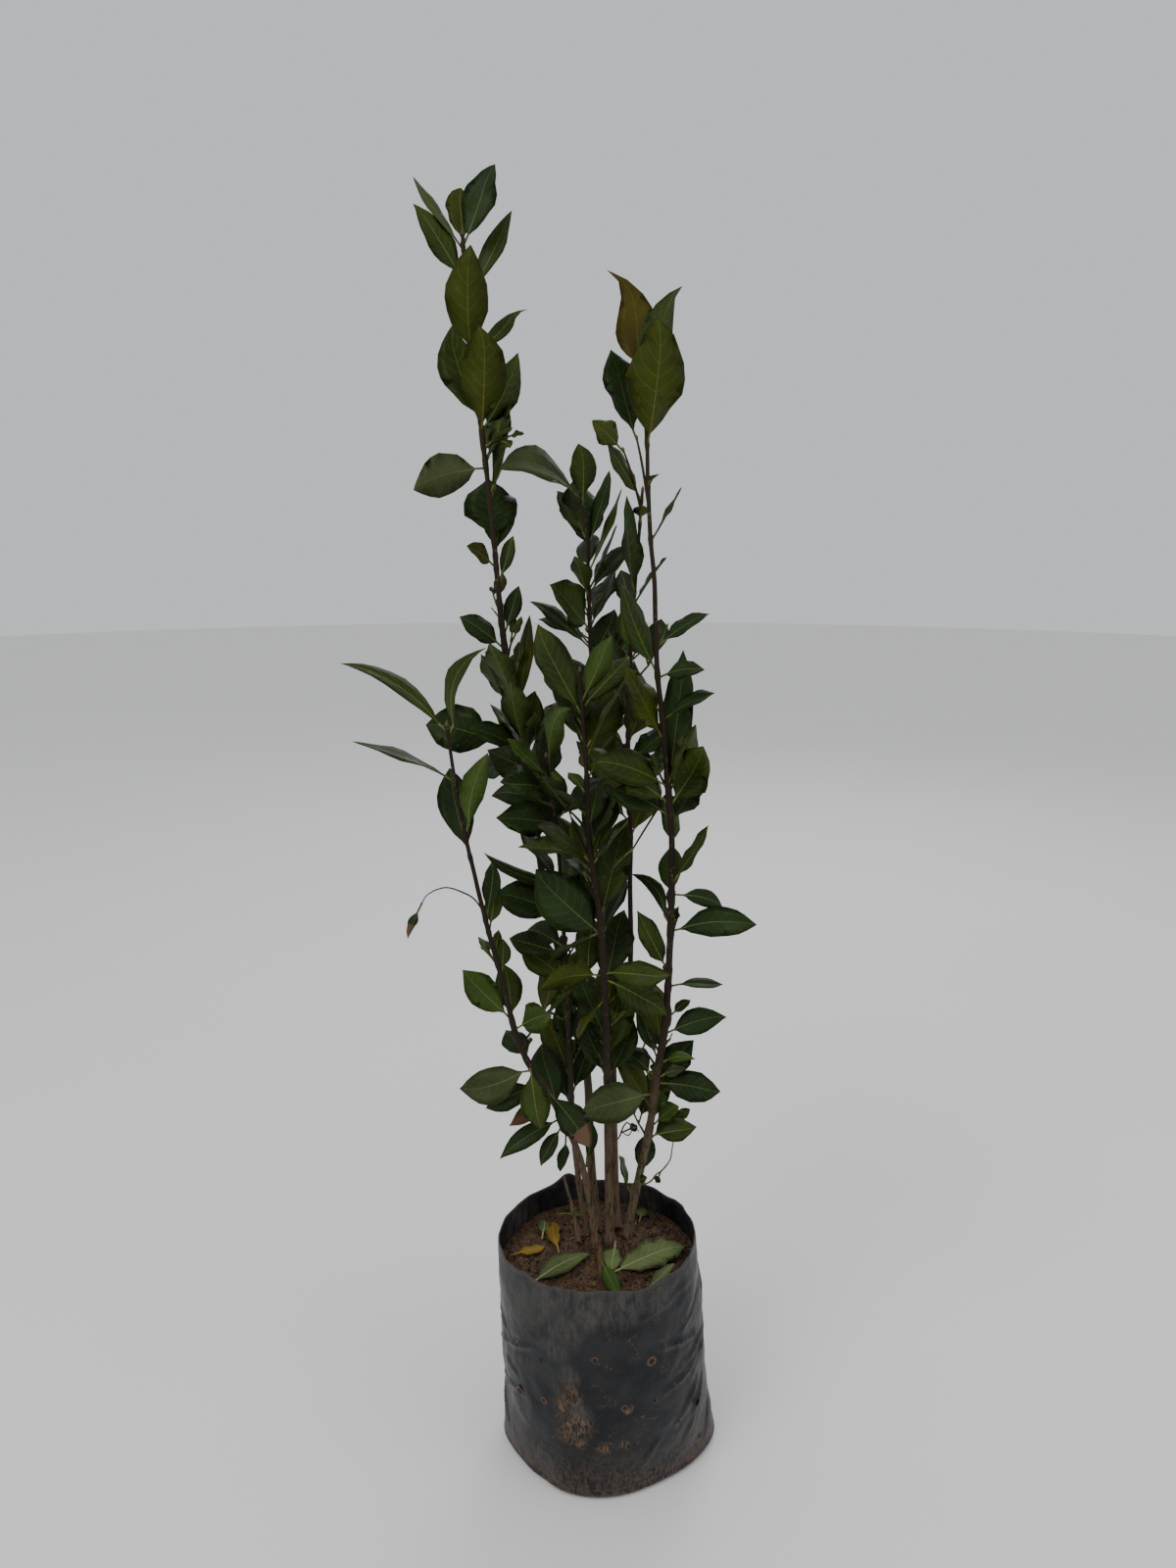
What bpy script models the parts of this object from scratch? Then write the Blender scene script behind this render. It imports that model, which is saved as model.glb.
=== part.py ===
# Bay laurel with several stems from one root, in a black polythene nursery bag.
# Metres, +Z up. The origin is the middle of the bag's flat underside, and -Y is the front.
import math
import random

import bmesh
import bpy
from mathutils import Quaternion, Vector
from mathutils.bvhtree import BVHTree

MM = 0.001
CLEARANCE = 0.3 * MM  # between neighbours that would touch

# nursery bag
BAG_HEIGHT = 220 * MM
BAG_WALL = 1.6 * MM
BAG_FOOT = (95 * MM, 84 * MM)  # half width and half depth near the floor
BAG_RIM = (92 * MM, 87 * MM)
BAG_BELLY = 3 * MM  # how far the filled bag bulges half way up
BAG_RIM_SHIFT = -13 * MM  # the bag leans a little to the left at its rim
BAG_CORNER = 9 * MM  # how far the folded corners stand out, left and right
BAG_EDGE = 7 * MM  # rounding round the underside
BAG_SIDES = 36

# potting soil
SOIL_LEVEL = 195 * MM
SOIL_GAP = 0.9 * MM  # between the soil and the bag's wall, whose facets fold either way
SOIL_CROWN = 5 * MM  # the soil is this much higher where the stems stand
WALL_LEVELS = (BAG_EDGE, 0.14 * BAG_HEIGHT, 0.35 * BAG_HEIGHT, 0.64 * BAG_HEIGHT, SOIL_LEVEL)
STEM_FOOT = Vector((0, 24 * MM, 0))  # middle of the clump of stems

# stems
STEM_SIDES = 6
STEM_STEP = 34 * MM  # between two rings of a stem
ROOT_FLARE = 1.45  # a stem's foot against its width just above
FLARE_HEIGHT = 14 * MM

# leaves
PETIOLE = 9 * MM
PETIOLE_RADIUS = 0.9 * MM
BLADE_THICKNESS = 1.3 * MM
BLADE = ((0.24, 0.74), (0.54, 1.0), (0.82, 0.62))  # share of the blade's length, share of its width
BLADE_FOLD = 0.2  # how far the two halves of a blade rise from the midrib
BLADE_ARCH = 0.07  # height of a level leaf's arch against its length
ARCH_TURN = 1.6  # a leaf that rises over 56 degrees bows outwards instead
TEST_MARGIN = 0.7 * MM  # a leaf is this much fatter while its room is tested
TWIG_RADIUS = 1.3 * MM
TWIG_BOW = 0.06  # against the twig's length

GOLDEN_TURN = 137.5  # degrees round the stem from one leaf to the next
TURNS_TO_TRY = ((0, 0), (9, 0), (-9, 0), (0, -7), (16, -3), (-16, -3), (9, -12), (-9, -12),
                (24, -6), (-24, -6), (0, -18), (0, 8), (34, -10), (-34, -10))

# Each stem is given by a few points of its axis in millimetres, its radius at the foot and
# at the tip, the top of its bare length, and the masses of leaves above that, each with its top.
# "leaves" are the ones that give the crown its outline, set one by one:
# height on the stem, turn round it (0 is +X, 90 the back, 270 the front), rise above level,
# length, width, and roll about the midrib. "twigs" are side twigs: height, turn, rise, length,
# and leaves whose height is a share of the twig. "fill" gives, for each mass, the number of
# further leaves and how far up the mass they go.
STEMS = {
    "left_tall": dict(
        axis=((-12, 34, 200), (-19, 40, 276), (-23, 49, 365), (-43, 56, 452), (-65, 61, 563),
              (-72, 62, 642), (-83, 60, 707), (-96, 57, 773), (-104, 57, 871), (-112, 56, 952),
              (-121, 54, 1023), (-124, 54, 1106)),
        foot=4.5, tip=1.5, bare_top=656,
        masses=(("middle", 810), ("upper", 988), ("crown", 1106)),
        leaves=((673, 173, 54, 56, 28, 0), (671, 290, 59, 50, 22, 40), (675, 235, 74, 74, 34, 0),
                (678, 78, 62, 54, 26, 0), (714, 223, 65, 68, 34, 0), (714, 56, 78, 84, 26, 0),
                (773, 161, 36, 50, 26, -40), (779, 35, 70, 46, 16, 50), (829, 55, 67, 40, 14, 40),
                (842, 215, 28, 30, 14, -60), (860, 92, 54, 66, 40, 0), (904, 346, 72, 48, 17, 0),
                (922, 208, -11, 68, 34, 80), (926, 42, 66, 60, 34, 10), (938, 5, 40, 33, 14, 0),
                (952, 51, 57, 66, 32, -10), (951, 283, 72, 86, 38, 0), (960, 148, 68, 86, 38, -30),
                (1018, 22, 35, 66, 20, 20), (1011, 278, 74, 86, 36, 5), (1056, 5, 64, 76, 26, 35),
                (1070, 192, 57, 70, 23, -78), (1097, 178, 57, 70, 16, 8), (1096, 104, 58, 50, 22, 0),
                (1098, 345, 64, 65, 27, 78)),
        twigs=((670, 188, 22, 28, ((1.0, 186, 18, 56, 38, -70),)),),
        fill=((7, 0.42), (2, 0.7), (1, 0.7))),
    "centre_front": dict(
        axis=((0, 18, 200), (-3, 1, 329), (-5, -12, 425), (-10, -25, 533), (-16, -31, 579),
              (-21, -34, 623), (-23, -38, 683), (-28, -44, 760)),
        foot=4.3, tip=1.5, bare_top=368,
        masses=(("lower", 512), ("middle", 671), ("crown", 760)),
        leaves=((383, 143, 53, 70, 34, 0), (392, 123, 28, 50, 26, 0), (399, 70, 62, 76, 40, 0),
                (465, 231, -33, 44, 22, 30), (475, 64, 50, 76, 42, 0), (485, 0, -26, 63, 30, 60),
                (489, 211, 4, 64, 36, 70), (491, 328, 9, 66, 24, 60), (528, 190, 46, 84, 46, -75),
                (531, 195, -28, 54, 20, 40), (545, 55, 64, 84, 40, 0), (575, 127, 12, 50, 20, 0),
                (595, 322, 50, 60, 36, 20), (597, 204, 39, 62, 34, -30), (601, 194, 10, 62, 24, 60),
                (623, 78, 40, 52, 24, 0), (638, 219, 37, 48, 24, 0), (655, 127, 34, 30, 14, 0),
                (696, 331, 60, 74, 28, 30), (699, 116, 39, 56, 28, 0), (714, 132, 41, 66, 28, 0),
                (724, 172, 62, 82, 34, -40), (730, 43, 36, 66, 26, 20), (736, 308, 58, 66, 20, -40)),
        twigs=(),
        fill=((9, 0.75), (8, 0.75), (2, 0.6))),
    "centre_back": dict(
        axis=((6, 36, 200), (4, 45, 283), (2, 62, 389), (-5, 74, 496), (-10, 82, 591), (-14, 85, 647),
              (-18, 90, 747), (-21, 92, 819), (-22, 93, 862), (-28, 94, 905)),
        foot=4.2, tip=1.4, bare_top=480,
        masses=(("middle", 798), ("crown", 905)),
        leaves=((637, 75, 53, 66, 34, 0), (689, 51, 42, 66, 36, 0), (764, 180, 39, 70, 20, -40),
                (772, 167, 21, 58, 18, -40), (775, 195, 59, 63, 36, -70), (783, 5, 62, 52, 26, 20),
                (810, 240, 60, 44, 22, 0), (817, 350, 66, 64, 18, 15), (833, 10, 68, 80, 20, 15),
                (854, 94, 64, 66, 42, 0), (856, 40, 60, 72, 17, 10), (861, 134, 50, 58, 30, -10),
                (891, 267, 70, 56, 24, 10), (895, 185, 30, 76, 34, -50)),
        twigs=(),
        fill=((18, 0.8), (3, 0.6))),
    "right_back": dict(
        axis=((9, 56, 361), (14, 56, 412), (19, 58, 472), (18, 59, 549), (18, 61, 605), (15, 63, 679),
              (16, 63, 750), (20, 63, 820), (26, 64, 903)),
        foot=2.8, tip=1.3, flare=1.0, bare_top=560,
        masses=(("middle", 793), ("crown", 903)),
        leaves=((679, 57, 53, 60, 30, 0), (733, 231, 60, 62, 30, -20), (760, 85, 64, 58, 26, 0),
                (816, 235, 74, 84, 38, -10), (875, 273, 37, 26, 14, 0), (893, 151, 54, 56, 30, 0),
                (895, 205, 52, 54, 20, -30)),
        twigs=((888, 222, 66, 52, ((1.0, 190, 42, 38, 27, -60),)),),
        fill=((12, 0.75), (3, 0.45))),
    "right": dict(
        axis=((16, 22, 200), (27, 10, 273), (36, 2, 329), (41, -6, 383), (48, -14, 445), (50, -24, 532),
              (50, -27, 604), (46, -29, 656), (40, -26, 721), (35, -27, 762), (32, -28, 826),
              (28, -26, 871), (26, -24, 909), (24, -24, 950), (17, -22, 999)),
        foot=4.0, tip=1.4, bare_top=304,
        masses=(("lower", 510), ("middle", 687), ("upper", 846), ("crown", 999)),
        leaves=((318, 0, 17, 46, 22, 50), (329, 0, 43, 34, 20, 30), (359, 33, 51, 41, 24, 20),
                (366, 190, -4, 72, 36, -60), (378, 350, -6, 58, 28, 60), (383, 140, 22, 44, 24, -30),
                (401, 132, 57, 50, 18, -30), (430, 0, 18, 57, 24, 60), (445, 13, 36, 27, 10, 40),
                (478, 0, 0, 48, 14, 20), (495, 191, 58, 60, 22, -50), (527, 354, 8, 77, 26, 66),
                (566, 0, -13, 45, 16, 60), (573, 0, 57, 60, 20, 40), (628, 45, 45, 50, 34, 0),
                (636, 172, 25, 58, 34, -40), (645, 350, 62, 58, 40, 60), (648, 190, 30, 73, 32, -60),
                (656, 30, 66, 62, 36, -60), (662, 186, 23, 67, 32, -60), (664, 60, 76, 96, 26, 20),
                (701, 200, 61, 72, 38, -50), (718, 10, 38, 50, 24, 30), (753, 321, 13, 46, 16, 60),
                (757, 190, 62, 76, 34, -55), (778, 357, 34, 50, 18, 40), (863, 0, 61, 48, 14, 10),
                (905, 286, 19, 24, 10, 20), (936, 292, 76, 94, 44, 5), (983, 25, 63, 78, 34, 10),
                (989, 172, 74, 74, 28, -75)),
        twigs=((893, 175, 79, 54, ((1.0, 165, 73, 72, 34, -40),)),),
        fill=((6, 0.7), (6, 0.6), (3, 0.4), (0, 0))),
    "left_outer": dict(
        axis=((-14, 14, 200), (-22, 4, 262), (-32, -6, 312), (-58, -16, 375), (-72, -20, 400),
              (-82, -24, 424), (-89, -28, 453), (-97, -33, 495), (-104, -38, 527), (-111, -43, 562),
              (-121, -50, 617), (-129, -55, 670), (-134, -61, 719)),
        foot=3.4, tip=1.3, bare_top=330,
        masses=(("lower", 514), ("middle", 603), ("crown", 719)),
        leaves=((346, 196, -28, 66, 24, -50), (376, 326, -42, 62, 28, 30), (404, 288, -54, 57, 28, 0),
                (398, 193, -10, 66, 30, -50), (445, 350, 10, 34, 26, 60), (454, 195, 28, 52, 30, -60),
                (493, 80, 68, 33, 14, 20), (536, 72, 68, 43, 16, 20), (548, 60, 76, 50, 17, 20),
                (558, 193, -9, 63, 10, -8), (621, 130, 70, 71, 34, 0), (628, 330, 70, 73, 24, -50),
                (672, 187, 23, 88, 18, -8), (712, 10, 66, 74, 18, 30), (715, 187, 36, 98, 20, -35)),
        twigs=(),
        fill=((5, 0.7), (0, 0), (1, 0.5))),
    "left_centre": dict(
        axis=((-22, 26, 200), (-31, 20, 267), (-36, 15, 332), (-38, 11, 393), (-41, 8, 473), (-46, 1, 577),
              (-50, -5, 632), (-57, -11, 683)),
        foot=3.2, tip=1.3, bare_top=336,
        masses=(("lower", 519), ("crown", 683)),
        leaves=((343, 137, 56, 54, 26, 0), (398, 110, 70, 54, 26, 0), (473, 165, 31, 52, 30, -40),
                (497, 178, 17, 52, 24, -40), (540, 180, 22, 62, 30, -60), (563, 180, 27, 76, 18, -20),
                (627, 182, 9, 55, 24, -50), (648, 142, 48, 46, 28, 0), (659, 188, 47, 60, 20, -30),
                (672, 320, 70, 66, 24, -30)),
        twigs=(),
        fill=((7, 0.75), (7, 0.7))),
}
DEAD_STUB = dict(axis=((-30, 12, 200), (-36, 12, 235), (-44, 13, 270)), foot=1.9, tip=1.2)

COLOURS = {  # base colour, roughness
    "bag": ((0.055, 0.062, 0.070), 0.42),
    "soil": ((0.13, 0.075, 0.05), 0.95),
    "bark": ((0.13, 0.10, 0.075), 0.8),
    "leaf": ((0.055, 0.12, 0.045), 0.45),
}


# ---------- small helpers ----------

def heading(turn, rise):
    """Unit vector that points turn degrees round the stem and rise degrees above level."""
    turn, rise = math.radians(turn), math.radians(rise)
    return Vector((math.cos(rise) * math.cos(turn), math.cos(rise) * math.sin(turn), math.sin(rise)))


def material(name):
    colour, roughness = COLOURS[name]
    made = bpy.data.materials.get(name) or bpy.data.materials.new(name)
    made.use_nodes = True
    shader = made.node_tree.nodes["Principled BSDF"]
    shader.inputs["Base Color"].default_value = (*colour, 1)
    shader.inputs["Roughness"].default_value = roughness
    shader.inputs["Metallic"].default_value = 0
    return made


def new_object(name, bm, finish):
    """Turn the bmesh into a smooth-shaded object that carries its own copy of a material."""
    bmesh.ops.recalc_face_normals(bm, faces=bm.faces)
    mesh = bpy.data.meshes.new(name)
    bm.to_mesh(mesh)
    bm.free()
    mesh.shade_smooth()
    mesh.set_sharp_from_angle(angle=math.radians(40))
    own = material(finish).copy()
    own.name = f"{finish}_{name}"
    mesh.materials.append(own)
    made = bpy.data.objects.new(name, mesh)
    bpy.context.scene.collection.objects.link(made)
    return made


def loft(bm, rings, close_start=True, close_end=True):
    """Skin rings of points, each ring with the same number of corners."""
    rows = [[bm.verts.new(point) for point in ring] for ring in rings]
    for low, high in zip(rows, rows[1:]):
        for i in range(len(low)):
            j = (i + 1) % len(low)
            bm.faces.new((low[i], low[j], high[j], high[i]))
    if close_start:
        bm.faces.new(rows[0][::-1])
    if close_end:
        bm.faces.new(rows[-1])
    return rows


# ---------- bag and soil ----------

def bag_ring(height, inset=0.0):
    """The bag's outline at a height: round above, with two folded corners near the floor."""
    share = height / BAG_HEIGHT
    near_floor = max(0.0, 1 - height / (0.35 * BAG_HEIGHT))
    edge = BAG_EDGE * (1 - math.sqrt(1 - max(0.0, 1 - height / BAG_EDGE) ** 2)) if height < BAG_EDGE else 0
    points = []
    for i in range(BAG_SIDES):
        angle = math.tau * i / BAG_SIDES
        belly = BAG_BELLY * math.sin(math.pi * share)
        half = [foot + (rim - foot) * share + belly for foot, rim in zip(BAG_FOOT, BAG_RIM)]
        corner = BAG_CORNER * near_floor ** 1.5 * abs(math.cos(angle)) ** 14
        out = 1 - (inset + edge - corner) / half[0]
        points.append(Vector((BAG_RIM_SHIFT * share + half[0] * out * math.cos(angle),
                              half[1] * out * math.sin(angle), height)))
    return points


def build_bag():
    bm = bmesh.new()
    levels = [0, 0.3 * BAG_EDGE, *WALL_LEVELS, BAG_HEIGHT]
    outer = [bag_ring(level) for level in levels]
    inner = [bag_ring(level, BAG_WALL) for level in levels[:0:-1]]
    inner.append([Vector((p.x, p.y, BAG_WALL)) for p in bag_ring(0.3 * BAG_EDGE, BAG_WALL)])
    loft(bm, outer + inner)
    return new_object("nursery_bag", bm, "bag")


def build_soil():
    """Fills the bag to the soil level, clear of its wall, with a low mound round the stems."""
    bm = bmesh.new()
    inset = BAG_WALL + SOIL_GAP
    rings = [bag_ring(level, inset) for level in WALL_LEVELS]
    foot = [Vector((p.x, p.y, BAG_WALL + CLEARANCE)) for p in bag_ring(0.3 * BAG_EDGE, inset)]
    rings.insert(0, foot)
    centre = STEM_FOOT + Vector((0, 0, SOIL_LEVEL))
    for share, rise in ((0.72, 0.6 * SOIL_CROWN), (0.44, SOIL_CROWN)):
        rings.append([centre.lerp(p, share) + Vector((0, 0, rise)) for p in rings[len(WALL_LEVELS)]])
    loft(bm, rings)
    return new_object("potting_soil", bm, "soil")


# ---------- stems ----------

class Stem:
    """The axis of one stem as a smooth curve that can be read at any height."""

    def __init__(self, axis, foot, tip, flare=ROOT_FLARE, steps=10):
        points = [Vector(p) * MM for p in axis]
        points = [2 * points[0] - points[1], *points, 2 * points[-1] - points[-2]]
        self.line = []
        for a, b, c, d in zip(points, points[1:], points[2:], points[3:]):
            for k in range(steps):
                t = k / steps
                self.line.append(0.5 * (2 * b + (c - a) * t + (2 * a - 5 * b + 4 * c - d) * t * t
                                        + (3 * b - a - 3 * c + d) * t ** 3))
        self.line.append(points[-2])
        self.low, self.high = self.line[0].z, self.line[-1].z
        self.foot, self.tip, self.flare = foot * MM, tip * MM, flare

    def at(self, z):
        for a, b in zip(self.line, self.line[1:]):
            if z <= b.z:
                return a.lerp(b, max(0.0, (z - a.z) / (b.z - a.z)))
        return self.line[-1].copy()

    def radius(self, z):
        share = (z - self.low) / (self.high - self.low)
        flare = 1 + (self.flare - 1) * max(0.0, 1 - (z - self.low) / FLARE_HEIGHT) ** 2
        return (self.foot + (self.tip - self.foot) * share) * flare

    def direction(self, z):
        return (self.at(min(z + 2 * MM, self.high)) - self.at(max(z - 2 * MM, self.low))).normalized()


def tube_rings(points, radii, sides, level_start=False):
    """Rings round a line of points, with no twist between them."""
    rings = []
    across = None
    for i, point in enumerate(points):
        along = (points[min(i + 1, len(points) - 1)] - points[max(i - 1, 0)]).normalized()
        if level_start and i == 0:
            along = Vector((0, 0, 1))
        if across is None:
            across = along.orthogonal().normalized()
        across = (across - across.dot(along) * along).normalized()
        other = along.cross(across)
        rings.append([point + radii[i] * (math.cos(math.tau * k / sides) * across
                                          + math.sin(math.tau * k / sides) * other)
                      for k in range(sides)])
    return rings


def stem_rings(stem, low, high, grow=0.0):
    """Rings of a stem between two heights, closer together at the flared foot."""
    heights = [low]
    at_foot = low < stem.low + FLARE_HEIGHT
    if at_foot:
        heights += [low + 0.4 * FLARE_HEIGHT, low + FLARE_HEIGHT]
    count = max(1, round((high - heights[-1]) / STEM_STEP))
    start = heights[-1]
    heights += [start + (high - start) * (k + 1) / count for k in range(count)]
    return tube_rings([stem.at(z) for z in heights],
                      [stem.radius(z) + grow for z in heights], STEM_SIDES, at_foot)


def twig_point(start, end, share):
    """A twig bows upwards a little between its ends."""
    bow = Vector((0, 0, TWIG_BOW * (end - start).length))
    return start.lerp(end, share) + bow * 4 * share * (1 - share)


def twig_rings(start, end, radius, grow=0.0):
    """A short twig that tapers to its tip."""
    shares = (0, 0.35, 0.7, 1)
    return tube_rings([twig_point(start, end, share) for share in shares],
                      [radius * (1 - 0.35 * share) + grow for share in shares], 5)


# ---------- leaves ----------

class Leaf:
    """A blade on a short stalk, from the middle of its stem or twig to its tip."""

    def __init__(self, root, turn, rise, length, width, roll):
        self.root, self.length, self.width = root, length, width
        self.along = heading(turn, rise)
        upright = Vector((0, 0, 1)) - self.along.z * self.along
        self.upper = upright.normalized()
        self.arch = Quaternion(self.along, math.radians(roll / 2)) @ self.upper
        self.upper.rotate(Quaternion(self.along, math.radians(roll)))
        self.across = self.along.cross(self.upper)
        self.bow = length * BLADE_ARCH * math.cos(math.radians(ARCH_TURN * rise))

    def middle(self, share):
        return (self.root + self.along * self.length * share
                + self.arch * self.bow * 4 * share * (1 - share))

    def rings(self, grow=0.0, from_blade=False):
        """Four-cornered sections: edge, upper side, edge, lower side."""
        stalk = PETIOLE / self.length
        sections = [] if from_blade else [(0.0, PETIOLE_RADIUS, 0.0)]
        sections.append((stalk, PETIOLE_RADIUS, 0.0))
        for share, breadth in BLADE:
            half = 0.5 * self.width * breadth
            sections.append((stalk + (1 - stalk) * share, half, BLADE_FOLD * half))
        found = []
        for share, half, fold in sections:
            centre = self.middle(share)
            thick = (PETIOLE_RADIUS if fold == 0 else 0.5 * BLADE_THICKNESS) + grow
            half += grow
            found.append([centre - self.across * half + self.upper * fold,
                          centre - self.upper * thick,
                          centre + self.across * half + self.upper * fold,
                          centre + self.upper * thick])
        return found

    def add_to(self, bm, grow=0.0, from_blade=False):
        rows = loft(bm, self.rings(grow, from_blade), close_end=False)
        tip = bm.verts.new(self.middle(1.0))
        for i in range(4):
            bm.faces.new((rows[-1][i], rows[-1][(i + 1) % 4], tip))

    def test_body(self):
        return solid_tree(lambda bm: self.add_to(bm, TEST_MARGIN, from_blade=True))


def solid_tree(fill):
    """Search tree of the faces that fill() adds to a bmesh."""
    bm = bmesh.new()
    fill(bm)
    tree = BVHTree.FromBMesh(bm)
    bm.free()
    return tree


# ---------- the crown, node by node ----------

class Mass:
    """A stretch of stem with its twigs and leaves, which end up as one solid."""

    def __init__(self, name, stem, low, high):
        self.name, self.stem, self.low, self.high = name, stem, low, high
        self.leaves, self.twigs, self.trees = [], [], []
        self.trees.append(solid_tree(lambda bm: loft(bm, stem_rings(stem, low, high, TEST_MARGIN))))


def clear_of(tree, masses, mass, own_trees):
    """True where tree meets nothing of the other nodes, nor any of own_trees."""
    others = [other for near in masses if near is not mass for other in near.trees]
    return not any(tree.overlap(other) for other in others + own_trees)


def root_in(stem, z, turn):
    """A leaf's root: inside the stem, towards the side the leaf leaves it."""
    out = heading(turn, 0)
    return stem.at(z) + out * 0.35 * stem.radius(z)


def place_leaf(masses, mass, root_of, turn, rise, length, width, roll, must=False):
    """Put a leaf where it touches nothing, turning it a little if it has to."""
    for strict in ((True, False) if must else (True,)):
        for more_turn, more_rise in TURNS_TO_TRY:
            leaf = Leaf(root_of(turn + more_turn), turn + more_turn, rise + more_rise,
                        length * MM, width * MM, roll)
            tree = leaf.test_body()
            if clear_of(tree, masses, mass, mass.trees if strict else []):
                mass.leaves.append(leaf)
                mass.trees.append(tree)
                return True
    return False


def place_twig(masses, mass, z, turn, rise, length, must=False):
    """A side twig, or nothing where it would touch another stem or leaf."""
    start = root_in(mass.stem, z, turn)
    end = start + heading(turn, rise) * length * MM
    tree = solid_tree(lambda bm: loft(bm, twig_rings(start, end, TWIG_RADIUS, TEST_MARGIN)))
    if not clear_of(tree, masses, mass, [] if must else mass.trees[1:]):
        return None
    mass.twigs.append((start, end))
    mass.trees.append(tree)
    return start, end


def set_leaves(masses, mass, form):
    """The leaves and twigs that give the crown its outline."""
    for z, turn, rise, length, width, roll in form["leaves"]:
        if mass.low < z * MM < mass.high:
            place_leaf(masses, mass, lambda side: root_in(mass.stem, z * MM, side),
                       turn, rise, length, width, roll, must=True)
    for z, turn, rise, length, leaves in form["twigs"]:
        if mass.low < z * MM < mass.high:
            twig = place_twig(masses, mass, z * MM, turn, rise, length, must=True)
            for share, *rest in leaves if twig else ():
                root = twig_point(*twig, 0.97 * share)
                place_leaf(masses, mass, lambda side: root, *rest, must=True)


def fill_leaves(masses, mass, count, reach, seed):
    """Further leaves by the spiral rule, behind the stem and up to a share of the mass's height."""
    draw = random.Random(seed)
    turn = draw.uniform(0, 360)
    span = mass.high - mass.low
    for k in range(count):
        z = mass.low + span * (0.05 + (reach - 0.05) * (k + 0.5) / count)
        turn = (turn + GOLDEN_TURN) % 360
        side = 90 + 62 * math.sin(math.radians(turn))
        rise, length = draw.uniform(38, 62), draw.uniform(52, 72)
        width, roll = length * draw.uniform(0.42, 0.5), draw.uniform(-30, 30)
        if k % 4 == 3:
            twig = place_twig(masses, mass, z, side, rise - 10, draw.uniform(22, 32))
            for spread in (-70, 10, 80) if twig else ():
                root = twig_point(*twig, 0.95)
                place_leaf(masses, mass, lambda way: root, side + spread, rise + 6,
                           0.85 * length, 0.85 * width, roll)
        else:
            place_leaf(masses, mass, lambda way: root_in(mass.stem, z, way),
                       side, rise, length, width, roll)


def build_mass(mass):
    """Fuse the stretch of stem, the twigs and the leaves into one solid."""
    pieces = bpy.data.collections.new(f"{mass.name}_pieces")
    bpy.context.scene.collection.children.link(pieces)

    def add(rings=None, leaf=None):
        bm = bmesh.new()
        leaf.add_to(bm) if leaf else loft(bm, rings)
        piece = new_object("piece", bm, "leaf")
        piece.hide_render = True
        piece.display_type = "WIRE"
        bpy.context.scene.collection.objects.unlink(piece)
        pieces.objects.link(piece)

    for start, end in mass.twigs:
        add(rings=twig_rings(start, end, TWIG_RADIUS))
    for leaf in mass.leaves:
        add(leaf=leaf)
    bm = bmesh.new()
    loft(bm, stem_rings(mass.stem, mass.low, mass.high))
    solid = new_object(mass.name, bm, "leaf")
    union = solid.modifiers.new("union", "BOOLEAN")
    union.operation, union.operand_type, union.solver = "UNION", "COLLECTION", "EXACT"
    union.collection = pieces
    joined = bpy.data.meshes.new_from_object(solid.evaluated_get(bpy.context.evaluated_depsgraph_get()))
    solid.modifiers.remove(union)
    for piece in list(pieces.objects):
        bpy.data.objects.remove(piece)
    bpy.data.collections.remove(pieces)
    solid.data = keep_main_shell(joined)
    solid.data.materials.clear()
    solid.data.materials.append(bpy.data.materials[f"leaf_{mass.name}"])
    return solid


def keep_main_shell(mesh):
    """Only the outer skin: loose scraps and the walls of sealed hollows go."""
    bm = bmesh.new()
    bm.from_mesh(mesh)
    bmesh.ops.triangulate(bm, faces=bm.faces)
    left = set(bm.verts)
    shells = []
    while left:
        shell, todo = set(), [left.pop()]
        while todo:
            vert = todo.pop()
            shell.add(vert)
            near = [edge.other_vert(vert) for edge in vert.link_edges]
            todo += [other for other in near if other in left]
            left.difference_update(near)
        shells.append(shell)
    shells.sort(key=len)
    for shell in shells[:-1]:
        bmesh.ops.delete(bm, geom=list(shell), context="VERTS")
    bm.to_mesh(mesh)
    bm.free()
    return mesh


def build_stems():
    """Bare stems from the soil to the first leaves, and the masses above them."""
    masses, boughs = [], []
    for name, form in STEMS.items():
        stem = Stem(form["axis"], form["foot"], form["tip"], form.get("flare", ROOT_FLARE))
        top = form["bare_top"] * MM
        boughs.append(Mass(f"stem_{name}", stem, stem.low + CLEARANCE, top - CLEARANCE / 2))
        for part, high in form["masses"]:
            masses.append(Mass(f"foliage_{name}_{part}", stem, top + CLEARANCE / 2,
                               high * MM - CLEARANCE / 2))
            top = high * MM
    stub = Stem(**DEAD_STUB)
    boughs.append(Mass("stem_dead_stub", stub, stub.low + CLEARANCE, stub.high))
    every = boughs + masses
    fills = [fill for form in STEMS.values() for fill in form["fill"]]
    forms = [form for form in STEMS.values() for _ in form["masses"]]
    for mass, form in zip(masses, forms):
        set_leaves(every, mass, form)
    for seed, (mass, (count, reach)) in enumerate(zip(masses, fills)):
        fill_leaves(every, mass, count, reach, seed)
    for bough in boughs:
        bm = bmesh.new()
        loft(bm, stem_rings(bough.stem, bough.low, bough.high))
        new_object(bough.name, bm, "bark")
    for mass in masses:
        build_mass(mass)


for old in list(bpy.data.objects):
    bpy.data.objects.remove(old)
build_bag()
build_soil()
build_stems()
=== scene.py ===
import math
import random

import bmesh
import bpy
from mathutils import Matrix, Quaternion, Vector, noise
from mathutils.bvhtree import BVHTree


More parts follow.
